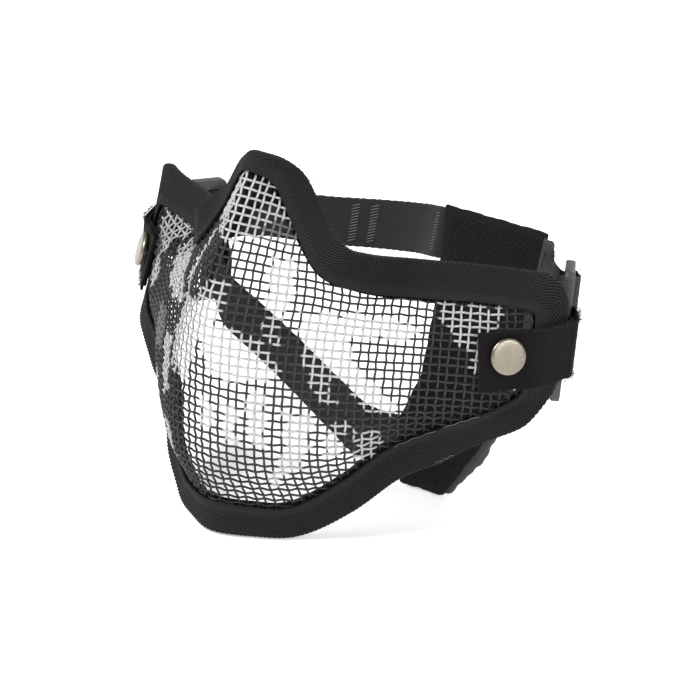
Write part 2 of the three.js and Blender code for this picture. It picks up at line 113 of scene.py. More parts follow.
# Columns run from the centre line to the wearer's left. Each climbs through the tape's lower fold,
# the lower edge of the bare wire, jaw, mouth, cheekbone, the upper edge of the bare wire and the
# tape's upper fold. The right half is the mirror image.
COLUMNS = [
    [(0, -22, 0.6), (0, -25.5, 13.5), (0, -33, 31), (0, -36, 57), (0, -36, 85),
     (0, -18.4, 126), (0, -8, 128.4)],
    [(12, -16.5, 0.4), (11.5, -19.4, 12.6), (13, -29, 30), (13.5, -32, 57), (10, -30, 85),
     (6, -12.5, 121.5), (10.4, -2.8, 125)],
    [(24, -7, 1), (21.8, -10.4, 12.8), (24.5, -19, 30), (25, -22, 56), (19, -20, 83),
     (13, -10, 108.5), (18, 0, 113)],
    [(37, 3.6, 10), (33.4, -0.2, 22), (36, -8, 37), (36, -10.5, 56), (30, -11, 78),
     (23, -7.6, 94.2), (28, -1, 104)],
    [(48, 14.8, 22), (44.1, 12, 33.8), (46.5, 5, 45), (46, 2.5, 58), (40.5, 0.5, 74),
     (32.6, 3.7, 87.8), (32.8, 8, 100)],
    [(59.6, 23.4, 29.2), (58, 22.2, 42), (58.5, 18.5, 51), (57.5, 17.5, 62), (52, 17.5, 74),
     (43.1, 22, 83.4), (40, 26.8, 95.7)],
    [(68, 29, 35.8), (69.3, 31, 47.6), (69.5, 30, 56), (69, 30.5, 66), (66, 32.5, 75),
     (60.8, 36.6, 82.6), (59.8, 42.2, 94.5)],
    [(77.8, 39, 41), (76, 40.5, 52.6), (77.2, 41.5, 60), (77.6, 42.5, 67.5), (77.5, 43.5, 75),
     (76.3, 45.4, 82), (75.9, 49.5, 94.4)],
    [(81.5, 50, 45), (82.4, 54.5, 54), (82.6, 56, 61), (82.7, 56.5, 68), (82.7, 56.5, 76),
     (82.8, 55.8, 84.5), (82.2, 54.8, 93.5)],
]
LAST_COLUMN = len(COLUMNS) - 1
LAST_ROW = len(COLUMNS[0]) - 1
UP = np.array([0.0, 0.0, 1.0])


# ---------------------------------------------------------------- the face surface
def unit(vectors):
    return vectors / np.maximum(np.linalg.norm(vectors, axis=-1, keepdims=True), 1e-9)


def smoothstep(value, low, high):
    t = np.clip((value - low) / (high - low), 0, 1)
    return t * t * (3 - 2 * t)


def reach_along(path):
    """How far each point of a path lies from its start, measured along it."""
    steps = np.linalg.norm(np.diff(path, axis=0), axis=1)
    return np.concatenate([[0], np.cumsum(steps)])


def read_along(at, reach, values):
    """Rows of values, known at each reach along a path, read at other places along it."""
    return np.stack([np.interp(at, reach, values[:, axis]) for axis in range(values.shape[1])], axis=1)


def control_net():
    """The control points from column -8 to 8, with one straight step added beyond every edge."""
    half = np.array(COLUMNS, float)
    net = np.concatenate([half[:0:-1] * [-1, 1, 1], half])
    net = np.concatenate([2 * net[:1] - net[1:2], net, 2 * net[-1:] - net[-2:-1]])
    return np.concatenate([2 * net[:, :1] - net[:, 1:2], net, 2 * net[:, -1:] - net[:, -2:-1]], axis=1)


NET = control_net()


def catmull_rom_weights(t):
    return 0.5 * np.stack(
        [-t + 2 * t**2 - t**3, 2 - 5 * t**2 + 3 * t**3, t + 4 * t**2 - 3 * t**3, -(t**2) + t**3], axis=-1
    )


def surface(column, row, lift=True):
    """The middle of the wire sheet. With lift, the right rear corner is bent up as on the object."""
    column, row = np.broadcast_arrays(np.asarray(column, float), np.asarray(row, float))
    first_column = np.clip(np.floor(column), -LAST_COLUMN, LAST_COLUMN - 1).astype(int)
    first_row = np.clip(np.floor(row), 0, LAST_ROW - 1).astype(int)
    across = catmull_rom_weights(column - first_column)
    upward = catmull_rom_weights(row - first_row)
    points = np.zeros(column.shape + (3,))
    for i in range(4):
        for j in range(4):
            weight = (across[..., i] * upward[..., j])[..., None]
            points += weight * NET[first_column + LAST_COLUMN + i, first_row + j]
    if lift:
        near_rear = smoothstep(np.abs(column), LAST_COLUMN - 2, LAST_COLUMN)
        near_top = smoothstep(row, LAST_ROW / 2, LAST_ROW)
        points[..., 2] += np.where(column < 0, RIGHT_CORNER_LIFT * near_rear * near_top, 0)
    return points


def surface_normal(column, row, step=0.05):
    across = surface(column + step, row) - surface(column - step, row)
    upward = surface(column, row + step) - surface(column, row - step)
    return unit(np.cross(across, upward))


def lifted(column, row, height):
    """A point lifted off the surface by a height, away from the face."""
    height = np.asarray(height, float)[..., None]
    return surface(column, row) + surface_normal(column, row) * height


def locate(x, z, rounds=9):
    """The surface place (column, row) whose x and z are given, found by Newton's method."""
    shape = x.shape
    x, z = x.ravel(), z.ravel()
    grid_column, grid_row = np.meshgrid(
        np.linspace(-LAST_COLUMN, LAST_COLUMN, 65), np.linspace(0, LAST_ROW, 25), indexing="ij"
    )
    grid = surface(grid_column, grid_row, lift=False)
    column, row = np.empty_like(x), np.empty_like(x)
    batch = 4000
    for start in range(0, len(x), batch):
        part = slice(start, start + batch)
        distance = (grid[..., 0].ravel() - x[part, None]) ** 2 + (grid[..., 2].ravel() - z[part, None]) ** 2
        nearest = distance.argmin(1)
        column[part], row[part] = grid_column.ravel()[nearest], grid_row.ravel()[nearest]
    step = 1e-3
    for _ in range(rounds):
        point = surface(column, row, lift=False)
        by_column = (surface(column + step, row, lift=False) - point) / step
        by_row = (surface(column, row + step, lift=False) - point) / step
        error_x, error_z = x - point[..., 0], z - point[..., 2]
        scale = by_column[..., 0] * by_row[..., 2] - by_column[..., 2] * by_row[..., 0]
        scale = np.where(np.abs(scale) < 1e-3, 1e-3, scale)
        move_column = (error_x * by_row[..., 2] - error_z * by_row[..., 0]) / scale
        move_row = (by_column[..., 0] * error_z - by_column[..., 2] * error_x) / scale
        column = np.clip(column + np.clip(move_column, -0.5, 0.5), -LAST_COLUMN - 0.3, LAST_COLUMN + 0.3)
        row = np.clip(row + np.clip(move_row, -0.5, 0.5), -0.6, LAST_ROW + 0.6)
    return column.reshape(shape), row.reshape(shape)


# ---------------------------------------------------------------- meshes
# The corners of a rounded rectangle in walking order: side, level and first angle in half turns.
CORNERS = [(1, -1, -0.5), (1, 1, 0), (-1, 1, 0.5), (-1, -1, 1)]


def make_piece(name, points, faces, body, look, replaced=(), colours=None, cloth=None, sharp=None):
    """A mesh object from points in millimetres that rides on a body. Colours and cloth places are
    stored for the materials to read. Edges that turn more than sharp degrees stay crisp."""
    world = (np.asarray(points, float) - [0, ORIGIN_Y, 0]) * MM
    mesh = bpy.data.meshes.new(name)
    mesh.from_pydata(world.tolist(), [], [list(map(int, face)) for face in faces])
    mesh.polygons.foreach_set("use_smooth", np.ones(len(mesh.polygons), bool))
    if sharp is not None:
        mesh.set_sharp_from_angle(angle=math.radians(sharp))
    if colours is not None:
        data = np.concatenate([colours, np.ones((len(colours), 1))], axis=1).astype(np.float32)
        attribute = mesh.color_attributes.new("printed", "FLOAT_COLOR", "POINT")
        attribute.data.foreach_set("color", data.ravel())
    if cloth is not None:
        attribute = mesh.attributes.new("cloth", "FLOAT_VECTOR", "POINT")
        attribute.data.foreach_set("vector", np.asarray(cloth, np.float32).ravel())
    mesh.validate()
    piece = bpy.data.objects.new(name, mesh)
    bpy.context.collection.objects.link(piece)
    piece.data.materials.append(MATERIALS[look])
    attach(piece, body)
    if replaced:
        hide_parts(*replaced)
    return piece


def make_cloth_piece(name, sheet, body, look, node, sharp=70):
    """A band or sheet, given as points, faces and cloth places, in place of one CAD node."""
    points, faces, cloth = sheet
    make_piece(name, points, faces, body, look, (node,), cloth=cloth, sharp=sharp)


def joined(parts):
    """One list of points and faces from several."""
    points, faces, start = [], [], 0
    for part_points, part_faces in parts:
        points.append(part_points)
        faces.extend([[index + start for index in face] for face in part_faces])
        start += len(part_points)
    return np.concatenate(points), faces


def grid_faces(rows, columns, closed_rows=False, closed_columns=False):
    """Quads between neighbours of a grid of points stored row by row."""
    row = np.arange(rows if closed_rows else rows - 1)
    column = np.arange(columns if closed_columns else columns - 1)
    row, column = np.meshgrid(row, column, indexing="ij")
    next_row, next_column = (row + 1) % rows, (column + 1) % columns
    corners = [(row, column), (next_row, column), (next_row, next_column), (row, next_column)]
    return np.stack([(r * columns + c).ravel() for r, c in corners], axis=1)


def tubes(paths, up, radius, sides):
    """Closed round tubes along an array of paths (tubes, points, xyz). Up turns each section, and
    the radius may differ from point to point."""
    paths = np.asarray(paths, float)
    count, length = paths.shape[:2]
    forward = unit(np.gradient(paths, axis=1))
    side = unit(np.cross(forward, np.broadcast_to(up, paths.shape)))
    rise = np.cross(side, forward)
    angle = np.arange(sides) * 2 * np.pi / sides
    ring = np.cos(angle)[:, None] * side[:, :, None] + np.sin(angle)[:, None] * rise[:, :, None]
    radius = np.broadcast_to(radius, (count, length))
    points = paths[:, :, None] + radius[:, :, None, None] * ring
    one = grid_faces(length, sides, closed_columns=True)
    offset = np.arange(count)[:, None, None] * (length * sides)
    faces = (one[None] + offset).reshape(-1, 4).tolist()
    for start in offset.ravel().tolist():
        faces.append(list(range(start, start + sides)))
        end = start + (length - 1) * sides
        faces.append(list(range(end + sides - 1, end - 1, -1)))
    return points.reshape(-1, 3), faces


# ---------------------------------------------------------------- materials
MATERIALS = {}  # by look, which is the record's slot unless it is listed below


def new_material(name, roughness, metallic=0.0, specular=0.5, sheen=0.0, sheen_roughness=0.5):
    """A slot's material, with values that are the same all over on the shader."""
    material = bpy.data.materials.new(f"{name}_finish")
    MATERIALS[name] = material
    material.use_nodes = True
    shader = material.node_tree.nodes["Principled BSDF"]
    shader.inputs["Roughness"].default_value = roughness
    shader.inputs["Metallic"].default_value = metallic
    shader.inputs["Specular IOR Level"].default_value = specular
    shader.inputs["Sheen Weight"].default_value = sheen
    shader.inputs["Sheen Roughness"].default_value = sheen_roughness
    return material, shader


def add_node(material, kind, inputs=(), **settings):
    """A node with its inputs set to values or linked to other nodes' outputs."""
    tree = material.node_tree
    node = tree.nodes.new(kind)
    for key, value in settings.items():
        setattr(node, key, value)
    for key, value in dict(inputs).items():
        if isinstance(value, bpy.types.NodeSocket):
            tree.links.new(value, node.inputs[key])
        else:
            node.inputs[key].default_value = value
    return node


def connect(material, output, target):
    material.node_tree.links.new(output, target)


def position(material, name=None, scale=(1, 1, 1)):
    """The object's own place, or the cloth place stored on the mesh, stretched by a scale."""
    if name:
        source = add_node(material, "ShaderNodeAttribute", attribute_name=name).outputs["Vector"]
    else:
        source = add_node(material, "ShaderNodeTexCoord").outputs["Object"]
    mapping = add_node(material, "ShaderNodeMapping", {"Vector": source, "Scale": scale})
    return mapping.outputs["Vector"]


def noise(material, vector, scale, detail=3.0, roughness=0.55):
    inputs = {"Vector": vector, "Scale": scale, "Detail": detail, "Roughness": roughness}
    return add_node(material, "ShaderNodeTexNoise", inputs).outputs["Fac"]


def spread(material, value, low, high, to_low, to_high):
    inputs = {"Value": value, "From Min": low, "From Max": high, "To Min": to_low, "To Max": to_high}
    return add_node(material, "ShaderNodeMapRange", inputs).outputs["Result"]


def two_tone(material, factor, dark, light):
    """A colour that runs from dark to light with a factor."""
    ramp = add_node(material, "ShaderNodeValToRGB", {"Fac": factor})
    ramp.color_ramp.elements[0].color = (*dark, 1)
    ramp.color_ramp.elements[1].color = (*light, 1)
    return ramp.outputs["Color"]


def mottled(material, pattern, dark, light, broad, low):
    """Two tones of a fine pattern, dimmed down to a low share where a broad noise is low."""
    fine = two_tone(material, pattern, dark, light)
    return multiplied(material, fine, two_tone(material, broad, grey(low), grey(1)))


def multiplied(material, colour, other):
    node = add_node(material, "ShaderNodeVectorMath", operation="MULTIPLY")
    connect(material, colour, node.inputs[0])
    connect(material, other, node.inputs[1])
    return node.outputs["Vector"]


def add_bump(material, shader, height, distance, strength=1.0):
    inputs = {"Height": height, "Distance": distance, "Strength": strength}
    bump = add_node(material, "ShaderNodeBump", inputs)
    before = shader.inputs["Normal"].links
    if before:
        connect(material, before[0].from_socket, bump.inputs["Normal"])
    connect(material, bump.outputs["Normal"], shader.inputs["Normal"])


def grey(value):
    return (value, value, value)


def printed_wire_material():
    """Painted steel wire: the print's colour is stored on the mesh, and it is rubbed and speckled."""
    material, shader = new_material("printed_wire", 0.5, specular=0.35)
    colour = add_node(material, "ShaderNodeAttribute", attribute_name="printed").outputs["Color"]
    place = position(material)
    speckle = two_tone(material, noise(material, place, 900, 4), grey(0.72), grey(1.0))
    patchy = two_tone(material, noise(material, place, 160, 2), grey(0.86), grey(1.0))
    worn = multiplied(material, multiplied(material, colour, speckle), patchy)
    connect(material, worn, shader.inputs["Base Color"])
    gloss = spread(material, noise(material, place, 500, 3), 0.3, 0.7, 0.38, 0.62)
    connect(material, gloss, shader.inputs["Roughness"])
    add_bump(material, shader, noise(material, place, 2600, 3), 0.00004)


def tape_material(name, dark, light, sheen):
    """Twill tape: the ribs are modelled, so this adds the twist of the yarns and their fuzz, and
    painted shade in the grooves and a painted highlight on the crests, from the rib height stored with the
    cloth place."""
    material, shader = new_material(name, 0.8, specular=0.12, sheen=sheen, sheen_roughness=0.4)
    yarn = position(material, "cloth", (1.0, 0.35, 1.0))
    twist = noise(material, yarn, 2.6, 4, 0.7)
    broad = noise(material, position(material), 45, 3)
    colour = mottled(material, twist, dark, light, broad, 0.72)
    stored = add_node(material, "ShaderNodeAttribute", attribute_name="cloth").outputs["Vector"]
    rib = add_node(material, "ShaderNodeSeparateXYZ", {"Vector": stored}).outputs["Z"]
    # Painted shade and highlight: the colour drops to 0.12 in the rib grooves and rises up to 2.5 times on
    # the crests.
    groove = spread(material, rib, min(RIB_PROFILE), max(RIB_PROFILE), 0.12, 2.5)
    colour = multiplied(material, colour, groove)
    connect(material, colour, shader.inputs["Base Color"])
    connect(material, spread(material, twist, 0.3, 0.7, 0.68, 0.92), shader.inputs["Roughness"])
    add_bump(material, shader, twist, 0.00012)
    add_bump(material, shader, noise(material, position(material), 3200, 2), 0.00004)


def pile_material(name, dark, light, pile_scale, sheen, depth=0.00025):
    """Brushed or looped cloth with a matt, uneven pile."""
    material, shader = new_material(name, 0.95, specular=0.12, sheen=sheen, sheen_roughness=0.6)
    place = position(material)
    pile = noise(material, place, pile_scale, 5, 0.7)
    broad = noise(material, place, 60, 3)
    colour = mottled(material, pile, dark, light, broad, 0.7)
    connect(material, colour, shader.inputs["Base Color"])
    connect(material, spread(material, broad, 0.3, 0.7, 0.86, 1.0), shader.inputs["Roughness"])
    add_bump(material, shader, pile, depth)


def bands(material, place, scale, distortion, direction):
    """Parallel stripes across one direction of the cloth."""
    inputs = {"Vector": place, "Scale": scale, "Distortion": distortion, "Detail": 2.0}
    return add_node(material, "ShaderNodeTexWave", inputs, bands_direction=direction).outputs["Fac"]


def elastic_material(name, dark, light, lines, sheen=0.08):
    """Woven elastic: fine yarns along its length, crossed by a finer weft."""
    material, shader = new_material(name, 0.75, specular=0.25, sheen=sheen, sheen_roughness=0.5)
    place = position(material, "cloth")
    warp = bands(material, place, lines, 0.6, "Y")
    weft = bands(material, place, 0.55, 0.8, "X")
    broad = noise(material, place, 0.25, 3)
    connect(material, mottled(material, warp, dark, light, broad, 0.7), shader.inputs["Base Color"])
    connect(material, spread(material, weft, 0, 1, 0.62, 0.85), shader.inputs["Roughness"])
    add_bump(material, shader, warp, 0.00012)
    add_bump(material, shader, weft, 0.00006)


def nickel_material():
    """Plated brass rivets: a warm nickel with a fine brushed grain, tarnish and a few scratches."""
    material, shader = new_material("rivet_nickel", 0.3, metallic=1.0)
    place = position(material)
    broad = noise(material, place, 120, 3)
    dark, light = (0.21, 0.188, 0.148), (0.3, 0.272, 0.22)
    connect(material, two_tone(material, broad, dark, light), shader.inputs["Base Color"])
    grain = noise(material, position(material, scale=(1, 1, 14)), 700, 4, 0.7)
    connect(material, spread(material, grain, 0.3, 0.7, 0.24, 0.4), shader.inputs["Roughness"])
    add_bump(material, shader, grain, 0.00002)
    cells = {"Vector": position(material, scale=(1, 1, 5)), "Scale": 170.0}
    scratch = add_node(material, "ShaderNodeTexVoronoi", cells, feature="DISTANCE_TO_EDGE")
    groove = spread(material, scratch.outputs["Distance"], 0, 0.02, 0, 1)
    add_bump(material, shader, groove, 0.00003, 0.5)


def plastic_material(name, dark, light):
    """Moulded plastic with a fine spark grain, and its sharp edges lightened as a painted highlight."""
    material, shader = new_material(name, 0.45, specular=0.45)
    place = position(material)
    broad = noise(material, place, 70, 4)
    # Painted highlight: convex edges, found by their pointiness, are made up to 1.5 times brighter.
    edge = add_node(material, "ShaderNodeNewGeometry").outputs["Pointiness"]
    painted_edge_highlight = spread(material, edge, 0.5, 0.58, 1.0, 1.5)
    colour = multiplied(material, two_tone(material, broad, dark, light), painted_edge_highlight)
    connect(material, colour, shader.inputs["Base Color"])
    gloss = spread(material, noise(material, place, 900, 3), 0.3, 0.7, 0.36, 0.56)
    connect(material, gloss, shader.inputs["Roughness"])
    add_bump(material, shader, noise(material, place, 2200, 4), 0.00005)


printed_wire_material()
tape_material("rim_tape", grey(0.0045), grey(0.019), 0.02)
pile_material("tab_fabric", (0.0035, 0.0027, 0.0028), (0.011, 0.0092, 0.0092), 2300, 0.02)
pile_material("hook_panel", grey(0.006), grey(0.016), 1500, 0.03)
pile_material("panel_lining", grey(0.07), grey(0.095), 900, 0.05, 0.00006)
pile_material("hook_tip", grey(0.014), grey(0.045), 1500, 0.03)
pile_material("tab_fibre", grey(0.012), grey(0.04), 2300, 0.05)
pile_material("light_thread", grey(0.12), grey(0.26), 1500, 0.05, 0.00003)
elastic_material("strap_elastic", grey(0.005), grey(0.026), 1.1)
elastic_material("ribbed_elastic", grey(0.035), grey(0.1), 1.4)
plastic_material("ring_plastic", grey(0.036), grey(0.056))
nickel_material()


# ---------------------------------------------------------------- woven wire
WIRE_RADIUS = 0.385
WIRE_CRIMP = 0.31  # how far each wire bows to pass over and under those that cross it
PITCH_U = 2.95  # between upright wires, measured level
PITCH_V = 2.9  # between level wires, measured upright
STEPS_PER_PITCH = 4
WIRE_SIDES = 8
MOUTH_Z = 57.0  # both measures start from this height at the centre line
DRAW_FALL = 0.105  # pressing the shell pulls the level wires down towards the sides
DRAW_SOFT = 10.0
SIDE_STRETCH = 0.0006
LEVEL_KEEP = 0.68  # how much of the difference from the arc length at the mouth counts
LEVEL_KEEP_RISE = (84, 100)  # that share rises to all of it between these heights
WIDEST, HIGHEST = 84, 130  # the reach of the arc length tables, from the centre line and from z 0
JAW_SLOPE_LIMIT = 0.45  # below the mouth, slopes beyond this don't lengthen the upright wires
WIRE_EDGE_COLUMN = 7.45  # the wires end inside the tape, between these columns and rows
WIRE_EDGE_ROW = 0.58
RIVET_CUT = 2.25  # radius of the hole punched for a rivet's stem
UPRIGHT_WIRES = 38  # on each side of the centre line
LEVEL_WIRES = 52
UPRIGHT_WIRE_LENGTH = 150
LEVEL_WIRE_HALF_LENGTH = 112


class WireMeasure:
    """Level and upright arc lengths over the pressed sheet, which the flat weave is laid along."""

    def __init__(self):
        self.step_x, self.step_z = 0.5, 1.0
        self.x = np.arange(0, WIDEST + self.step_x / 2, self.step_x)
        self.z = np.arange(0, HIGHEST + self.step_z / 2, self.step_z)
        grid_x, grid_z = np.meshgrid(self.x, self.z, indexing="xy")
        column, row = locate(grid_x, grid_z)
        point = surface(column, row, lift=False)
        depth = point[..., 1]
        found = (np.abs(point[..., 0] - grid_x) < 0.05) & (np.abs(point[..., 2] - grid_z) < 0.05)
        start = np.searchsorted(self.z, MOUTH_Z)

        slope = self.filled(np.diff(depth, axis=1) / self.step_x, found[:, 1:] & found[:, :-1], 3)
        lengths = np.cumsum(np.sqrt(1 + slope**2) * self.step_x, axis=1)
        level = np.concatenate([np.zeros((len(self.z), 1)), lengths], axis=1)
        keep = LEVEL_KEEP + (1 - LEVEL_KEEP) * smoothstep(self.z, *LEVEL_KEEP_RISE)[:, None]
        self.level = level[start] + keep * (level - level[start])

        slope = self.filled(np.diff(depth, axis=0) / self.step_z, found[1:] & found[:-1], 1.2)
        gentle = np.clip(slope, -JAW_SLOPE_LIMIT, JAW_SLOPE_LIMIT)
        slope = np.where(self.z[1:, None] < MOUTH_Z, gentle, slope)
        lengths = np.cumsum(np.sqrt(1 + slope**2) * self.step_z, axis=0)
        upright = np.concatenate([np.zeros((1, len(self.x))), lengths], axis=0)
        self.upright = upright - upright[start]

    @staticmethod
    def filled(slope, found, limit):
        """Slopes held within a limit, with the places off the sheet filled from their neighbours."""
        slope = np.where(found, np.clip(slope, -limit, limit), np.nan)
        for j in range(slope.shape[1]):
            known = np.flatnonzero(~np.isnan(slope[:, j]))
            if len(known):
                slope[:, j] = np.interp(np.arange(len(slope)), known, slope[known, j])
            else:
                slope[:, j] = slope[:, j - 1]
        return slope

    def read(self, table, x, z):
        at_z = np.clip(z / self.step_z, 0, len(self.z) - 1.001)
        at_x = np.clip(x / self.step_x, 0, len(self.x) - 1.001)
        i, j = at_z.astype(int), at_x.astype(int)
        at_z, at_x = at_z - i, at_x - j
        low = table[i, j] * (1 - at_x) + table[i, j + 1] * at_x
        high = table[i + 1, j] * (1 - at_x) + table[i + 1, j + 1] * at_x
        return low * (1 - at_z) + high * at_z

    def place(self, u, v):
        """The surface place of a point on the flat weave, and whether it lies on the sheet."""
        stretched = np.abs(u) * (1 + SIDE_STRETCH * np.abs(u))
        fall = DRAW_FALL * (np.sqrt(stretched**2 + DRAW_SOFT**2) - DRAW_SOFT)
        height = v - MOUTH_Z - fall
        x = np.clip(stretched * 0.75, 0, WIDEST)
        z = np.clip(height + MOUTH_Z, 0, HIGHEST)
        for _ in range(8):
            level = self.read(self.level, x, z)
            further = self.read(self.level, np.minimum(x + self.step_x, WIDEST), z)
            slope = np.maximum((further - level) / self.step_x, 1)
            x = np.clip(x + (stretched - level) / slope, 0, WIDEST)
            upright = self.read(self.upright, x, z)
            higher = self.read(self.upright, x, np.minimum(z + self.step_z, HIGHEST))
            slope = np.maximum((higher - upright) / self.step_z, 1)
            z = np.clip(z + (height - upright) / slope, 0, HIGHEST)
        x = np.sign(u) * x
        column, row = locate(x, z)
        point = surface(column, row, lift=False)
        found = (np.abs(point[..., 0] - x) < 0.1) & (np.abs(point[..., 2] - z) < 0.1)
        past = np.clip(np.abs(column) - (LAST_COLUMN - 1), 0, 1)
        corner = 1 - np.sqrt(1 - past**2)
        within_rows = np.abs(row - LAST_ROW / 2) < LAST_ROW / 2 - WIRE_EDGE_ROW - corner
        inside = (np.abs(column) < WIRE_EDGE_COLUMN) & within_rows
        for side in (-1, 1):
            rivet = surface(side * RIVET_COLUMN, RIVET_ROW)
            inside &= np.linalg.norm(surface(column, row) - rivet, axis=-1) > RIVET_CUT
        return column, row, found & inside


# The print: patches on the flat weave, each with its brightness. The rest is near black.
INK = 0.022
WHITE = 0.53
MID_GREY = 0.15
PATCHES = [
    (WHITE, [(-19, 127), (8, 131), (16, 124), (22, 118), (11, 115), (10, 109), (-1, 106), (-25, 117)]),
    (MID_GREY, [(11, 115), (22, 118), (26, 111), (11, 109)]),
    (WHITE, [(17, 104), (25, 106), (26, 94), (24, 87), (17, 86), (17, 95)]),
    (WHITE, [(35, 87), (48, 89), (63, 88), (69, 84), (66, 80), (47, 80), (46, 75), (55, 65), (62, 60),
             (64, 54), (55, 54), (46, 64), (37, 71), (31, 75), (29, 87)]),
    (WHITE, [(17, 86), (22, 88), (24, 76), (19, 76)]),
    (WHITE, [(31, 76), (39, 75), (43, 58), (38, 57), (34, 65)]),
    (WHITE, [(41, 51), (48, 51), (47, 43), (42, 44)]),
    (WHITE, [(50, 48), (60, 46), (57, 32), (51, 34)]),
    (WHITE, [(74, 96), (96, 96), (95, 87), (89, 81), (90, 70), (87, 71), (84, 80), (77, 87)]),
    (WHITE, [(1, 80), (11, 79), (21, 73), (26, 67), (20, 62), (13, 63), (9, 60), (3, 63), (-1, 70)]),
    (WHITE, [(-1, 53), (3, 54), (5, 45), (1, 42)]),
    (WHITE, [(7, 52), (12, 54), (12, 41), (8, 37)]),
    (WHITE, [(15, 59), (21, 59), (21, 40), (16, 39)]),
    (WHITE, [(27, 52), (37, 53), (35, 39), (30, 31), (23, 22), (21, 25), (27, 37)]),
    (WHITE, [(41, 45), (46, 44), (45, 36), (40, 37)]),
    (WHITE, [(-105, 94), (-93, 96), (-79, 98), (-79, 93), (-83, 86), (-86, 79), (-79, 71), (-92, 67),
             (-93, 76), (-99, 84)]),
    (WHITE, [(-77, 89), (-74, 93), (-37, 94), (-31, 86), (-21, 80), (-34, 78), (-52, 80), (-71, 84)]),
    (WHITE, [(-14, 109), (-19, 109), (-25, 100), (-27, 93), (-26, 87), (-16, 81), (-14, 84), (-22, 89),
             (-23, 93), (-21, 100)]),
    (WHITE, [(2, 95), (-4, 92), (-6, 88), (-16, 82), (-20, 78), (-20, 70), (-17, 57), (-7, 58), (-3, 71),
             (0, 75), (3, 80), (5, 86), (5, 92)]),
    (MID_GREY, [(-60, 70), (-40, 72), (-36, 60), (-52, 56)]),
    (WHITE, [(-34, 66), (-24, 68), (-20, 50), (-28, 46)]),
    (WHITE, [(-58, 50), (-42, 50), (-40, 38), (-50, 34)]),
    (WHITE, [(-30, 38), (-20, 36), (-18, 24), (-26, 22)]),
]


def inside_outline(u, v, outline):
    """Whether points lie inside a closed outline, counted by the edges to their right."""
    inside = np.zeros(u.shape, bool)
    for (u0, v0), (u1, v1) in zip(outline, outline[1:] + outline[:1]):
        if v0 == v1:
            continue
        crosses = (v0 > v) != (v1 > v)
        inside ^= crosses & (u < u0 + (v - v0) * (u1 - u0) / (v1 - v0))
    return inside


def print_brightness(u, v):
    """The print at a point of the weave. Slow ripples keep the patches' edges from being straight."""
    rough_u = u + 0.9 * np.sin(v * 0.71 + 1.3) + 0.5 * np.sin(v * 1.9 + u * 0.6)
    rough_v = v + 0.9 * np.sin(u * 0.63 + 0.4) + 0.5 * np.sin(u * 1.7 - v * 0.5)
    brightness = np.full(u.shape, INK)
    for value, outline in PATCHES:
        brightness = np.where(inside_outline(rough_u, rough_v, outline), value, brightness)
    return brightness


def wire_set(name, upright, measure, replaced=()):
    """All wires of one direction, each bowed over and under the wires that cross it."""
    along_pitch, own_pitch = (PITCH_V, PITCH_U) if upright else (PITCH_U, PITCH_V)
    if upright:
        numbers = np.arange(-UPRIGHT_WIRES, UPRIGHT_WIRES + 1)
        along = np.arange(0, UPRIGHT_WIRE_LENGTH, along_pitch / STEPS_PER_PITCH)
    else:
        numbers = np.arange(LEVEL_WIRES)
        reach = math.ceil(LEVEL_WIRE_HALF_LENGTH / along_pitch) * STEPS_PER_PITCH
        along = np.arange(-reach, reach + 1) * along_pitch / STEPS_PER_PITCH
    own = (numbers * own_pitch)[:, None] + 0 * along
    along = np.broadcast_to(along, own.shape)
    u, v = (own, along) if upright else (along, own)
    wander = 0.16 * np.sin(along * 0.13 + numbers[:, None] * 2.4)
    u, v = (u + wander, v) if upright else (u, v + wander)
    column, row, found = measure.place(u, v)
    turn = np.where(numbers % 2, -1, 1)[:, None] * (-1 if upright else 1)
    height = turn * WIRE_CRIMP * np.cos(np.pi * along / along_pitch)
    normal = surface_normal(column, row)
    point = surface(column, row) + normal * height[..., None]
    parts, shades = [], []
    for i in range(len(numbers)):
        places = np.flatnonzero(found[i])
        for run in np.split(places, np.flatnonzero(np.diff(places) > 1) + 1):
            if len(run) < 4:
                continue
            parts.append(tubes(point[i, run][None], normal[i, run][None], WIRE_RADIUS, WIRE_SIDES))
            outward = np.sin(np.arange(WIRE_SIDES) * 2 * np.pi / WIRE_SIDES)
            printed = np.where(outward > -0.5, print_brightness(u[i, run], v[i, run])[:, None], INK)
            shades.append(printed.ravel())
    points, faces = joined(parts)
    shade = np.concatenate(shades)
    colours = np.stack([shade * 0.985, shade, shade], axis=1)
    return make_piece(name, points, faces, "mask", "printed_wire", replaced, colours=colours)


def build_wires():
    measure = WireMeasure()
    wire_set("upright_wires", True, measure, ("wire_mesh_shell",))
    wire_set("level_wires", False, measure)


# ---------------------------------------------------------------- binding tape
TAPE_STEP = 0.38  # between stations along the tape
RIB_SLANT = 1.38  # how far a rib runs along the tape for each millimetre across it
RIB_HEIGHT = 0.24
HEM_DEPTH = 0.785  # the smooth hem starts here and runs to the tape's inner edge at depth 1
TAPE_WIDTH = 13.0
NOSE_SHARE = 0.695  # where the tape passes over the nose, as a share of its length
NOSE_SPAN = 0.024
NOSE_GATHER = 0.55  # its inner layer bunches there and reaches further down


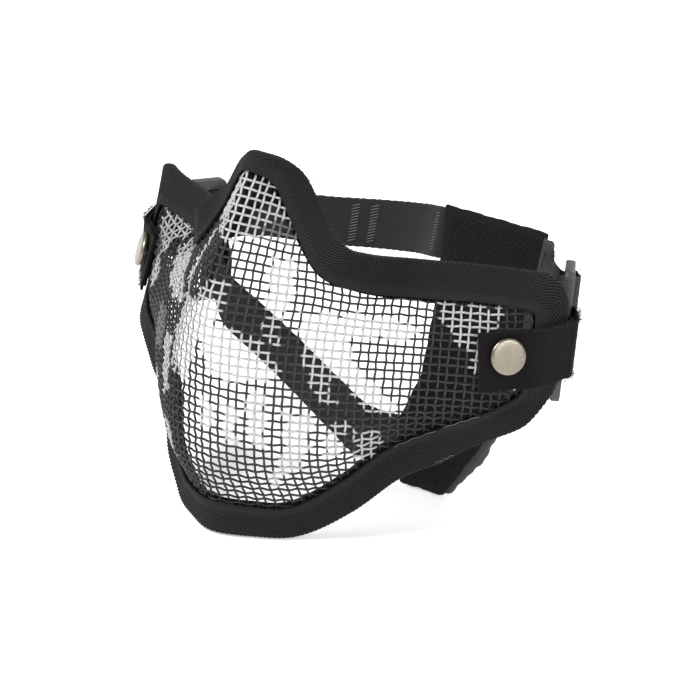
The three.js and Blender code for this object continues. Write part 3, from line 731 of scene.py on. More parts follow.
def rim_place(depth, share):
    """A place on the rim: depth 0 is the fold and depth 1 the tape's inner edge, and share runs
    once round the rim from the lower right. The path is a rounded rectangle on the surface."""
    radius = 1 - 0.75 * depth
    columns = LAST_COLUMN - depth - radius
    middle = LAST_ROW / 2
    rows = middle - depth - radius
    long_part, end_part, corner_part = 56, 6, 4
    lengths = [long_part, corner_part, end_part, corner_part] * 2
    bounds = np.concatenate([[0], np.cumsum(lengths)])
    at = (share % 1) * bounds[-1]
    column, row = np.zeros_like(at), np.zeros_like(at)
    for part in range(8):
        chosen = (at >= bounds[part]) & (at < bounds[part + 1])
        t = (at - bounds[part]) / lengths[part]
        side, level, start = CORNERS[part // 2]
        if part % 2:
            angle = np.pi * (start + t / 2)
            new_column = side * columns + radius * np.cos(angle)
            new_row = middle + level * rows + radius * np.sin(angle)
        else:
            last_side, last_level, _ = CORNERS[part // 2 - 1]
            new_column = columns * (last_side + (side - last_side) * t) + radius * (side + last_side) / 2
            new_row = middle + rows * (last_level + (level - last_level) * t)
            new_row = new_row + radius * (level + last_level) / 2
        column = np.where(chosen, new_column, column)
        row = np.where(chosen, new_row, row)
    return column, row


class RimPath:
    """The rim measured in millimetres, so that ribs and stitches are evenly spaced along it."""

    def __init__(self):
        share = np.linspace(0, 1, 4001)
        points = surface(*rim_place(0.4 * np.ones_like(share), share))
        self.share = share
        self.reach = reach_along(points)
        self.length = self.reach[-1]

    def at(self, depth, distance, height):
        """The point at a distance along the rim, a depth in from the fold and a height off the sheet."""
        share = np.interp(distance % self.length, self.reach, self.share)
        return lifted(*rim_place(np.broadcast_to(depth, share.shape), share), height)


def tape_section():
    """Places across the folded tape as (depth, height, distance across the unfolded cloth)."""
    inside = WIRE_SHEET_THICKNESS / 2 + TAPE_POCKET_GAP
    fold_depth, rounding = 0.07, 0.25
    face = [1, 0.985, 0.95, 0.9, 0.84, HEM_DEPTH, 0.755, 0.72, 0.62, 0.52, 0.42, 0.32, 0.22, 0.14]
    front = [(depth, TAPE_FACE - (rounding if depth == 1 else 0), depth * TAPE_WIDTH) for depth in face]
    fold = []
    for angle in np.linspace(np.pi / 2, -np.pi / 2, 9):
        fold.append((fold_depth * (1 - np.cos(angle)), TAPE_FACE * np.sin(angle), 0.9 * np.sin(angle)))
    back = [(depth, -height, -across) for depth, height, across in front[::-1]]
    hidden = [(1, -inside), (0.5, -inside), (fold_depth, -inside)]
    hidden += [(depth, -height) for depth, height in hidden[::-1]]
    return front + fold + back, hidden


def build_tape(path):
    ribs = round(path.length / (TAPE_STEP * len(RIB_PROFILE)))
    stations = ribs * len(RIB_PROFILE)
    distance = np.arange(stations) * path.length / stations
    profile = np.tile(RIB_PROFILE, ribs)
    section, hidden = tape_section()
    rows, cloth = [], []
    for depth, height, across in section:
        ribbed = 1 - smoothstep(depth, HEM_DEPTH - 0.05, HEM_DEPTH)
        rib = profile * RIB_HEIGHT * ribbed * np.sign(height if abs(height) > 0.01 else 1)
        slow = 0.12 * np.sin(distance * 0.31 + across * 0.2) * ribbed
        shifted = distance + RIB_SLANT * across
        if height < 0:
            from_nose = (shifted / path.length - NOSE_SHARE) / NOSE_SPAN
            depth = depth * (1 + NOSE_GATHER * np.exp(-(from_nose**2)))
        lift = np.clip(abs(height) / TAPE_FACE, 0, 1)
        bulge = rib + slow * lift
        rows.append(path.at(depth, shifted, height + bulge * lift))
        # The rib height, stored for the tape's painted shade in the grooves and painted highlight on the
        # crests; the smooth hem gets a fixed 0.2.
        rise = profile * ribbed + (1 - ribbed) * 0.2
        cloth.append(np.stack([distance, np.full(stations, across), rise], axis=1))
    for depth, height in hidden:
        across = depth * TAPE_WIDTH * np.sign(height)
        rows.append(path.at(depth, distance + RIB_SLANT * across, height))
        cloth.append(np.stack([distance, np.full(stations, across), 0 * distance], axis=1))
    points = np.stack(rows, axis=1).reshape(-1, 3)
    faces = grid_faces(stations, len(rows), closed_rows=True, closed_columns=True)
    cloth = np.stack(cloth, axis=1).reshape(-1, 3)
    make_piece("twill_binding", points, faces, "mask", "rim_tape", ("binding_tape",), cloth=cloth)


def build_tape_stitches(path):
    """A row of lockstitches along the hem on each face of the tape."""
    pitch, length, depth = 2.8, 2.1, 0.9
    count = round(path.length / pitch)
    t = np.linspace(-0.5, 0.5, 5)
    starts = np.arange(count) * path.length / count
    parts = []
    for side in (1, -1):
        slant = 0.006 * t[None] * np.ones((count, 1))
        distance = starts[:, None] + length * t[None]
        height = side * (TAPE_FACE + 0.1 - 0.9 * np.abs(t[None]) ** 2 * np.ones((count, 1)))
        paths = path.at(depth + slant, distance, height)
        parts.append(tubes(paths, UP + 0.001, 0.19 * np.array([0.5, 1, 1, 1, 0.5]), 6))
    points, faces = joined(parts)
    make_piece("binding_stitches", points, faces, "mask", "rim_tape", cloth=points)


def build_loose_threads(path):
    """Light ends of sewing thread left along the lower hem, and one small loop beside the nose."""
    parts = []
    strands = ((0.318, 0.343, 1.0), (0.347, 0.366, 1.02), (0.336, 0.349, 0.1))
    for start, end, depth in strands:
        t = np.linspace(0, 1, 24)[None]
        distance = (start + (end - start) * t) * path.length
        height = TAPE_FACE + 0.15 + 0.1 * np.sin(t * 23)
        strand = path.at(depth + 0.02 * np.sin(t * 17), distance, height)
        parts.append(tubes(strand, UP + 0.01, 0.09, 5))
    along = 0.668 * path.length
    root = path.at(np.zeros(1), np.array([along]), np.ones(1))
    forward = unit(path.at(np.zeros(1), np.array([along + 1]), np.ones(1)) - root)
    outward = unit(root - path.at(np.full(1, 0.3), np.array([along]), np.ones(1)))
    turn = np.linspace(0, 2 * np.pi, 20)[:, None]
    loop = root + outward * (1.0 - 1.1 * np.cos(turn)) + forward * np.sin(turn)
    parts.append(tubes(loop[None], np.array([0.1, 0.2, 0.97]), 0.1, 5))
    points, faces = joined(parts)
    make_piece("loose_threads", points, faces, "mask", "light_thread")


def build_tape_fuzz(path):
    """Short fibres standing off the tape's folded edge."""
    count = 900
    distance = path.length * RANDOM.random(count)
    level = 1.2 * (RANDOM.random(count) - 0.5)
    root = path.at(np.zeros(count), distance, level)
    outward = unit(root - path.at(np.full(count, 0.3), distance, level))
    forward = unit(path.at(np.zeros(count), distance + 1, level) - root)
    lean = unit(outward + 0.9 * forward * RANDOM.standard_normal((count, 1)))
    bend = 0.3 * RANDOM.standard_normal((count, 3))
    length = 0.35 + 0.55 * RANDOM.random(count)
    points, faces = fibres(root, lean, bend, length, 0.05)
    make_piece("binding_fuzz", points, faces, "mask", "tab_fibre")


def fibres(root, lean, bend, length, radius):
    """Thin tapered fibres that leave their roots along lean and curl over by bend."""
    t = np.linspace(0, 1, 4)[None, :, None]
    paths = root[:, None] + (lean[:, None] * t + bend[:, None] * t**2) * length[:, None, None]
    return tubes(paths, np.array([0.3, 0.5, 0.81]), radius * np.array([1, 1, 0.9, 0.5]), 3)


# ---------------------------------------------------------------- flat bands
def resampled(points, spacing):
    """Points evenly spaced along a smooth curve through the given ones."""
    points = np.asarray(points, float)
    gaps = np.linalg.norm(np.diff(points[:, :3], axis=0), axis=1)
    knots = np.concatenate([[0], np.cumsum(np.sqrt(gaps))])
    padded = np.concatenate([[2 * points[0] - points[1]], points, [2 * points[-1] - points[-2]]])
    knots = np.concatenate([[-knots[1]], knots, [2 * knots[-1] - knots[-2]]])
    curve = []
    for i in range(1, len(padded) - 2):
        t = np.linspace(knots[i], knots[i + 1], 24, endpoint=False)[:, None]
        curve.append(centripetal(padded[i - 1 : i + 3], knots[i - 1 : i + 3], t))
    curve = np.concatenate(curve + [points[-1:]])
    reach = reach_along(curve[:, :3])
    count = max(round(reach[-1] / spacing), 2)
    return read_along(np.linspace(0, reach[-1], count + 1), reach, curve)


def centripetal(points, knots, t):
    """One span of a centripetal Catmull-Rom curve, by repeated blending."""

    def blend(a, b, low, high):
        return ((high - t) * a + (t - low) * b) / (high - low)

    k0, k1, k2, k3 = knots
    first = blend(points[0], points[1], k0, k1)
    second = blend(points[1], points[2], k1, k2)
    third = blend(points[2], points[3], k2, k3)
    return blend(blend(first, second, k0, k2), blend(second, third, k1, k3), k1, k2)


def flat_band(path, up, height, thickness, rows=20, relief=None, edge_wave=0.0):
    """A band of rounded section swept along a path, of one height or a height for each station.
    Relief lifts its two faces: it is given the distance along and the height across of every
    point and returns millimetres."""
    forward = unit(np.gradient(path, axis=0))
    rise = unit(np.broadcast_to(up, path.shape).astype(float))
    out = unit(np.cross(forward, rise))
    reach = reach_along(path)
    half = thickness / 2
    body = np.broadcast_to(np.asarray(height, float) / 2, reach.shape)
    edge_angles = np.linspace(0.4, np.pi - 0.4, 5)
    section = [(share, 0, half, 1) for share in np.linspace(-1, 1, rows)]
    section += [(1, half * np.sin(a), half * np.cos(a), 0) for a in edge_angles]
    section += [(share, 0, -half, -1) for share in np.linspace(1, -1, rows)]
    section += [(-1, -half * np.sin(a), -half * np.cos(a), 0) for a in edge_angles]
    columns, cloth = [], []
    for share, past, t, face in section:
        h = share * (body - half) + past
        wave = edge_wave * np.sin(reach * 1.9 + 0.7 * np.sin(reach * 0.7)) * smoothstep(abs(share), 0.8, 1)
        level = h + np.sign(share) * wave
        lift = face * relief(reach, h) if relief and face else 0 * reach
        columns.append(path + rise * level[:, None] + out * (t + lift)[:, None])
        cloth.append(np.stack([reach, h, np.full_like(reach, face)], axis=1))
    size = len(section)
    points = np.stack(columns, axis=1).reshape(-1, 3)
    faces = grid_faces(len(path), size, closed_columns=True).tolist()
    end = (len(path) - 1) * size
    for ring, flip in ((0, True), (end, False)):
        for k in range(rows - 1):
            quad = [ring + k, ring + k + 1, ring + 2 * rows + 5 - 2 - k, ring + 2 * rows + 5 - 1 - k]
            faces.append(quad[::-1] if flip else quad)
        top = list(range(ring + rows - 1, ring + rows + 6))
        low = list(range(ring + 2 * rows + 4, ring + size)) + [ring]
        for fan in (top, low):
            faces.append(fan[::-1] if flip else fan)
    return points, faces, np.stack(cloth, axis=1).reshape(-1, 3)


def fold_round(centre, radius, start_angle, end_angle, z, count=14):
    """Points of a band's middle as it turns round an upright bar."""
    angle = np.linspace(start_angle, end_angle, count + 1)
    x, y = centre[0] + radius * np.cos(angle), centre[1] + radius * np.sin(angle)
    return np.stack([x, y, np.full_like(angle, z)], axis=1)


def mirrored(points, side):
    return np.asarray(points) * [side, 1, 1]


# ---------------------------------------------------------------- side tabs
def tab_path():
    """Stations of the tab as rows of (x, y, z, up x, up y, up z)."""
    on_wire = WIRE_SHEET_THICKNESS / 2 + CLEARANCE + TAB_THICKNESS / 2
    on_tape = on_wire + TAPE_POCKET_GAP + TAPE_THICKNESS
    layer = TAB_THICKNESS + CLEARANCE
    front, rear = TAB_COLUMNS
    places = [(front, on_wire), (6, on_wire), (6.3, on_wire), (6.65, on_wire + 0.3)]
    places += [(7, on_tape), (7.45, on_tape), (rear, on_tape)]

    def run(height):
        stations = []
        for column, lift in places:
            share = (column - front) / (rear - front)
            tangent = unit(surface(column, RIVET_ROW + 0.5) - surface(column, RIVET_ROW - 0.5))
            at = lifted(column, RIVET_ROW - 0.1, lift + height)
            at[2] = TAB_FRONT_Z + (TAB_REAR_Z - TAB_FRONT_Z) * share
            lean = 0.3 + 0.7 * share
            stations.append([*at, *(tangent * (1 - lean) + UP * lean)])
        return stations

    rim = surface(LAST_COLUMN, RIVET_ROW)

    def past(back, out):
        """A station beyond the rim, a way back and a way out from it."""
        return [rim[0] + 0.45 * back + 0.9 * out, rim[1] + 0.9 * back - 0.45 * out, TAB_REAR_Z, *UP]

    turn = fold_round(RING_FRONT, BAR_TURN_RADIUS + TAB_THICKNESS / 2, 0.6, 4.4, TAB_REAR_Z, 7)
    fold = [[*at, *UP] for at in turn]
    under = run(0)[1:][::-1]
    return [*run(layer), past(1.9, on_tape + 0.9), *fold, past(2.3, 0.4), past(1.6, 1.8), *under]


def tab_relief(reach, level):
    """The uneven surface of brushed loop cloth."""
    return 0.05 * np.sin(reach * 2.3 + level * 1.1) * np.sin(level * 2.9 - reach * 0.8)


def build_tab(side, word):
    stations = resampled(tab_path(), 0.45)
    path, up = stations[:, :3], unit(stations[:, 3:])
    points, faces, cloth = flat_band(path, up, TAB_HEIGHT, TAB_THICKNESS, rows=36, relief=tab_relief)
    if side < 0:
        points = mirrored(points, side)
        faces = [face[::-1] for face in faces]
    sheet = points, faces, cloth
    make_cloth_piece(f"loop_tab_{word}", sheet, "mask", "tab_fabric", f"side_tab_{word}", sharp=60)
    build_tab_fuzz(side, word, path, up)


def build_tab_fuzz(side, word, path, up):
    """Loose fibres along the tab's fold and its upper and lower edges."""
    count = 1100
    reach = len(path)
    fold = (reach * (0.43 + 0.2 * RANDOM.random(count // 2))).astype(int)
    edge = (reach * (0.05 + 0.5 * RANDOM.random(count - count // 2))).astype(int)
    index = np.clip(np.concatenate([fold, edge]), 1, reach - 2)
    level = TAB_HEIGHT * (RANDOM.random(count) - 0.5)
    level[count // 2 :] = np.sign(level[count // 2 :]) * TAB_HEIGHT / 2
    forward = unit(path[index + 1] - path[index - 1])
    out = unit(np.cross(forward, up[index]))
    root = path[index] + up[index] * level[:, None] + out * (TAB_THICKNESS / 2)
    lean = unit(out + 0.8 * RANDOM.standard_normal((count, 3)) + up[index] * np.sign(level)[:, None] * 0.4)
    bend = RANDOM.standard_normal((count, 3)) * 0.35
    length = 0.6 + 0.9 * RANDOM.random(count)
    points, faces = fibres(root, lean, bend, length, 0.06)
    points = mirrored(points, side)
    make_piece(f"tab_fuzz_{word}", points, faces, "mask", "tab_fibre")


# ---------------------------------------------------------------- rivets
LATHE_SEGMENTS = 72
POLE = 0.02  # turned profiles stop this far from the axis


def lathe(profile, side):
    """A profile of (radius, height) turned about the rivet's axis, which points out of the wire."""
    centre = surface(side * RIVET_COLUMN, RIVET_ROW)
    axis = surface_normal(side * RIVET_COLUMN, RIVET_ROW)
    across = unit(np.cross(UP, axis))
    upward = np.cross(axis, across)
    angle = np.arange(LATHE_SEGMENTS) * 2 * np.pi / LATHE_SEGMENTS
    around = np.cos(angle)[:, None] * across + np.sin(angle)[:, None] * upward
    profile = np.array(profile)
    points = centre + profile[:, 0, None, None] * around + profile[:, 1, None, None] * axis
    faces = grid_faces(len(profile), LATHE_SEGMENTS, closed_columns=True).tolist()
    return points.reshape(-1, 3), faces


def arc_profile(centre, radii, start, end, count=7):
    angle = np.linspace(start, end, count)
    return [(centre[0] + radii[0] * math.cos(a), centre[1] + radii[1] * math.sin(a)) for a in angle]


def build_rivet(side, word):
    bulge = 0.65  # the tab is curved, so the flat cap stands off a little more
    stack = WIRE_SHEET_THICKNESS / 2 + 3 * CLEARANCE + 2 * TAB_THICKNESS + bulge
    hole = RIVET_STEM_RADIUS + CLEARANCE
    cap, top = RIVET_CAP_RADIUS, stack + RIVET_CAP_HEIGHT
    crown = [(POLE, top), (1.2, top), (2.6, top), (cap - 2.0, top - 0.02), (cap - 1.3, top - 0.06)]
    rolled = arc_profile((cap - 1.0, top - 1.1), (1.0, 1.0), math.pi * 0.45, -0.1, 9)
    recess = stack + RIVET_CAP_RECESS
    under = [(cap - 0.1, stack + 0.15), (cap - 0.35, stack), (hole, stack), (hole, recess), (POLE, recess)]
    washer_top = -WIRE_SHEET_THICKNESS / 2 - WASHER_GAP
    washer_foot = washer_top - WASHER_THICKNESS
    rim = arc_profile((WASHER_RADIUS - 0.25, washer_top - 0.25), (0.25, 0.25), math.pi / 2, 0, 4)
    rim += arc_profile((WASHER_RADIUS - 0.25, washer_foot + 0.25), (0.25, 0.25), 0, -math.pi / 2, 4)
    washer = [(hole, washer_top), *rim, (hole, washer_foot), (hole, washer_top)]
    head_top = washer_foot - CLEARANCE
    stem_top = recess - CLEARANCE
    head = arc_profile((RIVET_HEAD_RADIUS - 1.0, head_top - 0.2), (1.0, 0.8), -math.pi / 2, 0.1, 7)
    stem = [(POLE, head_top - 1.05), *head, (RIVET_HEAD_RADIUS - 0.3, head_top)]
    stem += [(RIVET_STEM_RADIUS, head_top), (RIVET_STEM_RADIUS, stem_top), (POLE, stem_top)]
    for name, profile in (("cap", crown + rolled + under), ("washer", washer), ("stem", stem)):
        points, faces = lathe(profile, side)
        node = f"rivet_{name}_{word}"
        make_piece(f"turned_{node}", points, faces, "mask", "rivet_nickel", (node,), sharp=40)


# ---------------------------------------------------------------- rings
def rounded_loop(width, height, radius, corner_points=6):
    """A rounded rectangle about the origin, walked once round."""
    loop = []
    for side, level, start in CORNERS:
        centre = side * (width / 2 - radius), level * (height / 2 - radius)
        loop += arc_profile(centre, (radius, radius), start * np.pi, (start + 0.5) * np.pi, corner_points)
    return np.array(loop)


def build_ring(side, word, body):
    run = RING_REAR - RING_FRONT
    length = np.linalg.norm(run) + RING_BAR
    outer = rounded_loop(length, RING_HEIGHT, RING_OUTER_CORNER)
    inner = rounded_loop(length - 2 * RING_BAR, RING_HEIGHT - 2 * RING_BAR, RING_INNER_CORNER)
    chamfer, soft = 0.55, 0.18
    half = RING_THICKNESS / 2
    corner = [(0, half - chamfer), (soft, half - soft), (chamfer, half)]
    upper = corner + [(RING_BAR - inset, depth) for inset, depth in corner[::-1]]
    section = upper + [(inset, -depth) for inset, depth in upper[::-1]]
    forward = np.array([*unit(run), 0])
    sideways = np.cross(UP, forward)
    middle = np.array([*(RING_FRONT + run / 2), RING_BASE_Z[word] + RING_HEIGHT / 2])
    columns = []
    for inset, depth in section:
        loop = outer + (inner - outer) * inset / RING_BAR
        columns.append(middle + loop[:, :1] * forward + loop[:, 1:] * UP + depth * sideways)
    points = np.stack(columns, axis=1).reshape(-1, 3)
    faces = grid_faces(len(outer), len(section), closed_rows=True, closed_columns=True)
    points = mirrored(points, side)
    make_piece(f"moulded_ring_{word}", points, faces, body, "ring_plastic", (f"strap_ring_{word}",), sharp=30)


# ---------------------------------------------------------------- rear panel
PANEL_TOP = np.array([42.0, 78.0, 98.0])
PANEL_FOOT = np.array([42.0, 54.0, 0.6])
PANEL_UP = unit(PANEL_TOP - PANEL_FOOT)
PANEL_OUT = np.cross([1.0, 0.0, 0.0], PANEL_UP)  # towards the mask
PANEL_OUTLINE = [
    (27, 0), (45, 0), (56.5, 24), (61.5, 50), (62.5, 100.5), (21, 101.3), (25, 70), (26, 40), (21, 22),
]
LINING_OUTLINE = [
    (30, 1), (47.5, 1), (51, 8), (56, 14), (59.5, 24), (63, 34), (62.4, 44), (60.5, 48.5), (60.5, 96),
    (24, 96), (27, 70), (28, 40), (24, 22),
]
HOOK_ROW = 0.83
HOOK_STEP = 1.25
HOOK_SIZE = 0.52
HOOK_BEND = 2.6  # the angle that a hook turns through
HOOK_WIRE_RADIUS = 0.13
HEM_WIDTH = 2.6


def panel_point(x, up, out=0.0):
    """A point on the leaning panel's plane, or out from it towards the mask."""
    x, up, out = np.broadcast_arrays(x, up, out)
    base = np.stack([x, np.full(x.shape, PANEL_FOOT[1]), np.full(x.shape, PANEL_FOOT[2])], axis=-1)
    return base + up[..., None] * PANEL_UP + out[..., None] * PANEL_OUT


def soft_outline(outline, wave, spacing=0.8):
    """An outline walked in short steps with its corners slightly rounded and its edge wavering."""
    closed = np.array(outline + outline[:1], float)
    reach = reach_along(closed)
    count = round(reach[-1] / spacing)
    even = np.arange(count) * reach[-1] / count
    loop = read_along(even, reach, closed)
    for _ in range(2):
        loop = (np.roll(loop, 1, 0) + 2 * loop + np.roll(loop, -1, 0)) / 4
    forward = unit(np.roll(loop, -1, 0) - np.roll(loop, 1, 0))
    inward = np.stack([-forward[:, 1], forward[:, 0]], axis=1)
    ripple = wave * (np.sin(even * 0.55) + 0.6 * np.sin(even * 1.31 + 1)) - wave
    return loop, inward, ripple


def cushioned_sheet(outline, front, thickness, wave, inner_rings=10):
    """A closed flat sheet whose outline is rolled over. Rings step inwards to its middle."""
    loop, inward, ripple = soft_outline(outline, wave)
    centre = loop.mean(0)
    half = thickness / 2
    middle = front - half
    rings = []
    for share in np.linspace(0.02, 0.93, inner_rings):
        rings.append((centre + (loop - centre) * share, half))
    edges = [(math.cos(a), math.sin(a)) for a in np.linspace(math.pi / 2, -math.pi / 2, 7)]
    for along, out in edges:
        rings.append((loop + inward * (half * (1 - along) + np.maximum(-ripple, 0))[:, None], half * out))
    for share in np.linspace(0.93, 0.02, inner_rings):
        rings.append((centre + (loop - centre) * share, -half))
    points, cloth = [], []
    for ring, out in rings:
        wobble = 0.12 * np.sin(ring[:, 0] * 0.5) * np.sin(ring[:, 1] * 0.33)
        depth = middle + out + wobble * (1 if abs(out) == half else 0.5)
        points.append(panel_point(ring[:, 0], ring[:, 1], depth))
        cloth.append(np.concatenate([ring, np.full((len(ring), 1), out)], axis=1))
    size = len(loop)
    faces = grid_faces(len(rings), size, closed_columns=True).tolist()
    last = (len(rings) - 1) * size
    faces.append(list(range(size))[::-1])
    faces.append(list(range(last, last + size)))
    return np.concatenate(points), faces, np.concatenate(cloth)


def build_panel():
    """The hook-faced sheet and, behind it, a softer lining with a wavy edge."""
    sheet = cushioned_sheet(PANEL_OUTLINE, 0, PANEL_THICKNESS, 0.12)
    make_cloth_piece("hook_panel_backing", sheet, "harness", "hook_panel", "rear_panel")
    front = -PANEL_THICKNESS - CLEARANCE
    sheet = cushioned_sheet(LINING_OUTLINE, front, LINING_THICKNESS, 0.3)
    make_cloth_piece("panel_lining_cloth", sheet, "harness", "panel_lining", "rear_panel_lining")
    build_hooks()


def build_hooks():
    """Rows of small bent hooks over the panel's front, inside its plain hem."""
    outline = np.array(PANEL_OUTLINE, float)
    low, high = outline.min(0), outline.max(0)
    x, up = np.meshgrid(np.arange(low[0], high[0], HOOK_STEP), np.arange(low[1], high[1], HOOK_ROW))
    x = x + np.where(np.arange(len(x))[:, None] % 2, HOOK_STEP / 2, 0)
    x, up = x.ravel(), up.ravel()
    clear = np.ones(len(x), bool)
    for dx, dy in ((1, 0), (-1, 0), (0, 1), (0, -1)):
        clear &= inside_outline(x + dx * HEM_WIDTH, up + dy * HEM_WIDTH, PANEL_OUTLINE)
    x = x[clear] + 0.08 * RANDOM.standard_normal(clear.sum())
    up = up[clear] + 0.05 * RANDOM.standard_normal(clear.sum())
    lean = np.where(RANDOM.random(len(x)) > 0.5, 1.0, -1.0)[:, None]
    t = np.linspace(0, 1, 6)[None]
    angle = t * HOOK_BEND
    size = HOOK_SIZE * (1 + 0.15 * RANDOM.standard_normal((len(x), 1)))
    side = lean * size * (1 - np.cos(angle)) * 0.6
    rise = size * np.sin(angle) - 0.05 + 0.35 * size * t
    paths = panel_point(x[:, None] + side, up[:, None] + 0 * side, rise)
    points, faces = tubes(paths, PANEL_UP + 0.01, HOOK_WIRE_RADIUS, 4)
    make_piece("panel_hooks", points, faces, "harness", "hook_tip", cloth=points)


# ---------------------------------------------------------------- elastic
LINK_RIB = 1.1  # pitch of the ribs


def link_relief(reach, level):
    """Crosswise ribs of the elastic, over the folds left by gathering it into the ring."""
    return 0.26 * np.cos((reach + 0.12 * np.sin(level * 0.8)) * 2 * np.pi / LINK_RIB)


def link_edge(x, out):
    """A station of the link beside the panel, at a distance out from the panel's front."""
    return [*panel_point(x, LINK_EDGE_UP, out), *PANEL_UP, LINK_EDGE_HEIGHT]


def build_link():
    """A band that is sewn to the panel, runs out, turns round the left ring's rear bar and runs back."""
    radius = BAR_TURN_RADIUS + LINK_THICKNESS / 2
    fold = fold_round(RING_REAR, radius, *LINK_FOLD, LINK_Z)
    fold = [[*at, *UP, LINK_HEIGHT] for at in fold]
    front = [link_edge(LINK_EDGE_X - 1.8, -0.7), link_edge(LINK_EDGE_X, 0.9)]
    slack = [*LINK_SLACK, *(0.5 * (PANEL_UP + UP)), (LINK_EDGE_HEIGHT + LINK_HEIGHT) / 2]
    back = [link_edge(LINK_EDGE_X, -2.4), link_edge(LINK_EDGE_X - 2.2, -2.05)]
    stations = resampled([*front, slack, *fold, *back], LINK_RIB / 5)
    points, faces, cloth = flat_band(
        stations[:, :3],
        unit(stations[:, 3:6]),
        stations[:, 6],
        LINK_THICKNESS - 0.3,
        rows=40,
        relief=link_relief,
        edge_wave=0.4,
    )
    # Gathering into the ring pushes the cloth out in waves, most where it leaves the panel.
    level = points[:, 2] - LINK_Z
    free = smoothstep(RING_REAR[0] - 2 - points[:, 0], 0, 3) * smoothstep(points[:, 0] - LINK_EDGE_X, 0, 2)
    wave = free * 1.6 * np.sin(level * 0.5 + 0.5) * smoothstep(level, 2, 12)
    points[:, 0] += wave
    points[:, 1] -= 0.6 * wave
    sheet = points, faces, cloth
    make_cloth_piece("ribbed_link", sheet, "harness", "ribbed_elastic", "ribbed_elastic_link")


def strap_path(points, height, bar_z):
    """A strap that starts as a loop round the right ring's rear bar and ends at the rear panel."""
    centre = RING_REAR * [-1, 1]
    radius = BAR_TURN_RADIUS + OPEN_PIVOT_SLACK + STRAP_THICKNESS / 2
    loop = fold_round(centre, radius, *LOOP_TURN, bar_z)
    leaving, loop = loop[-1], loop[:-1]
    first = np.array(points[0], float)
    tail = first + (leaving - first) * 0.35
    tail[1] += STRAP_THICKNESS + 2 * CLEARANCE + 2.2
    turn = [[*at, *UP] for at in (tail, *loop)]
    run = [[*leaving, *UP]]
    for i, point in enumerate(points):
        share = (i + 1) / len(points)
        run.append([*point, *(UP * (1 - share) + PANEL_UP * share)])
    return resampled(turn + run, 1.0)


def strap_relief(reach, level):
    """Slightly raised yarns along the elastic, over a slow swell along its length."""
    return 0.06 * np.cos(level * 2 * np.pi / 1.6) + 0.08 * np.sin(reach * 0.12)


UPPER_STRAP = {
    "points": [
        (-56, 79, 77), (-36, 89, 76.6), (-12, 92, 80), (8, 87, 84.4), (20.2, 78.4, 88), (24.5, 78.3, 88.6),
    ],
    "height": 18.5,
    "bar_z": 73.6,
}
LOWER_STRAP = {
    "points": [
        (-60, 66, 45), (-45, 65.5, 37.2), (-28, 64.8, 28.7), (-6, 61.2, 18.8), (8, 58.4, 13.8),
        (20.2, 59, 13.2), (27, 59.8, 13),
    ],
    "height": 20.0,
    "bar_z": 53.4,
}


def build_strap(name, node, plan):
    """One strap from its plan. Its path is given back for the stitching."""
    stations = strap_path(**plan)
    path, up = stations[:, :3], unit(stations[:, 3:])
    sheet = flat_band(path, up, plan["height"], STRAP_THICKNESS - 0.2, 48, strap_relief, edge_wave=0.12)
    make_cloth_piece(name, sheet, "harness", "strap_elastic", node)
    return path, up


def build_zigzags(path, up, height):
    """Three rows of light thread sewn across both faces of the upper strap."""
    thread, dashes = 0.16, 13
    rows = ((52.0, 3.4), (44.0, 3.4), (7.0, 3.2))  # distance from the strap's end, and width
    reach = reach_along(path)
    forward = unit(np.gradient(path, axis=0))
    out = unit(np.cross(forward, up))
    parts = []
    for from_end, width in rows:
        for k in range(dashes):
            level = height * (0.78 * (k + 0.5) / dashes - 0.39)
            t = np.linspace(-0.5, 0.5, 6)
            at = reach[-1] - from_end + width * t
            middle, rise, face = (read_along(at, reach, values) for values in (path, up, out))
            bow = (STRAP_THICKNESS / 2 + 0.12 - 0.5 * np.abs(2 * t) ** 4)[:, None]
            for toward in (1, -1):
                sway = level + toward * 0.35 * np.sin(np.pi * t)
                line = middle + rise * sway[:, None] + face * bow * toward
                parts.append(tubes(line[None], UP + 0.01, thread, 5))
    points, faces = joined(parts)
    make_piece("strap_zigzag_thread", points, faces, "harness", "light_thread", cloth=points)


# ---------------------------------------------------------------- floor, light and camera
CAMERA_AT = (0.3901, -0.6500, 0.3430)
CAMERA_AZIMUTH = 30.16
CAMERA_ELEVATION = 20.72
CAMERA_ROLL = 5.19
FOCAL_LENGTH = 123.67


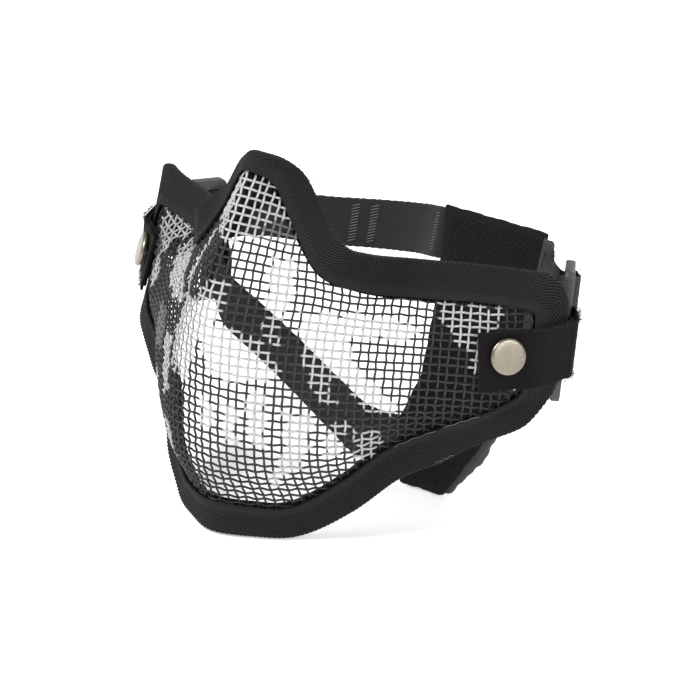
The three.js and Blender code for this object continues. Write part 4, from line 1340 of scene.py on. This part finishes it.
def build_floor():
    mesh = bpy.data.meshes.new("floor")
    size = 4.0
    corners = [(-size, -size, 0), (size, -size, 0), (size, size, 0), (-size, size, 0)]
    mesh.from_pydata(corners, [], [(0, 1, 2, 3)])
    floor = bpy.data.objects.new("floor", mesh)
    bpy.context.collection.objects.link(floor)
    material = bpy.data.materials.new("floor")
    material.use_nodes = True
    shader = material.node_tree.nodes["Principled BSDF"]
    shader.inputs["Base Color"].default_value = (0.93, 0.93, 0.93, 1)
    shader.inputs["Roughness"].default_value = 0.9
    shader.inputs["Specular IOR Level"].default_value = 0.1
    shader.inputs["Emission Color"].default_value = (1, 1, 1, 1)
    shader.inputs["Emission Strength"].default_value = 0.35
    mesh.materials.append(material)
    floor.location.z = CAD_BOX[0][2] - 0.0002


def add_area_light(name, place, size, power):
    light = bpy.data.lights.new(name, "AREA")
    light.shape = "SQUARE"
    light.size = size
    light.energy = power
    lamp = bpy.data.objects.new(name, light)
    bpy.context.collection.objects.link(lamp)
    lamp.location = place
    target = Vector((0, 0, 0.06))
    lamp.rotation_euler = (target - Vector(place)).to_track_quat("-Z", "Y").to_euler()


def build_light():
    scene = bpy.context.scene
    scene.view_settings.view_transform = "Standard"
    world = bpy.data.worlds.new("studio")
    world.use_nodes = True
    world.node_tree.nodes["Background"].inputs["Color"].default_value = (1, 1, 1, 1)
    world.node_tree.nodes["Background"].inputs["Strength"].default_value = 0.5
    scene.world = world
    add_area_light("key_light", (-0.7, -1.1, 1.5), 0.7, 34)
    add_area_light("fill_light", (1.5, -0.6, 0.8), 0.8, 14)
    add_area_light("back_light", (0.2, 1.5, 1.3), 0.9, 14)


def build_camera():
    data = bpy.data.cameras.new("camera")
    data.lens = FOCAL_LENGTH
    data.sensor_width = 36
    camera = bpy.data.objects.new("camera", data)
    bpy.context.collection.objects.link(camera)
    azimuth, elevation, roll = map(math.radians, (CAMERA_AZIMUTH, CAMERA_ELEVATION, CAMERA_ROLL))
    turn = Matrix.Rotation(azimuth, 4, "Z") @ Matrix.Rotation(math.pi / 2 - elevation, 4, "X")
    camera.matrix_world = Matrix.Translation(CAMERA_AT) @ turn @ Matrix.Rotation(roll, 4, "Z")
    bpy.context.scene.camera = camera


build_wires()
rim = RimPath()
build_tape(rim)
build_tape_stitches(rim)
build_loose_threads(rim)
for side, word in ((1, "left"), (-1, "right")):
    build_tab(side, word)
    build_rivet(side, word)
    build_ring(side, word, f"{word}_ring")
build_panel()
build_link()
upper_path, upper_up = build_strap("upper_elastic", "upper_strap", UPPER_STRAP)
build_strap("lower_elastic", "lower_strap", LOWER_STRAP)
build_zigzags(upper_path, upper_up, UPPER_STRAP["height"])
build_tape_fuzz(rim)
build_floor()
build_light()
build_camera()
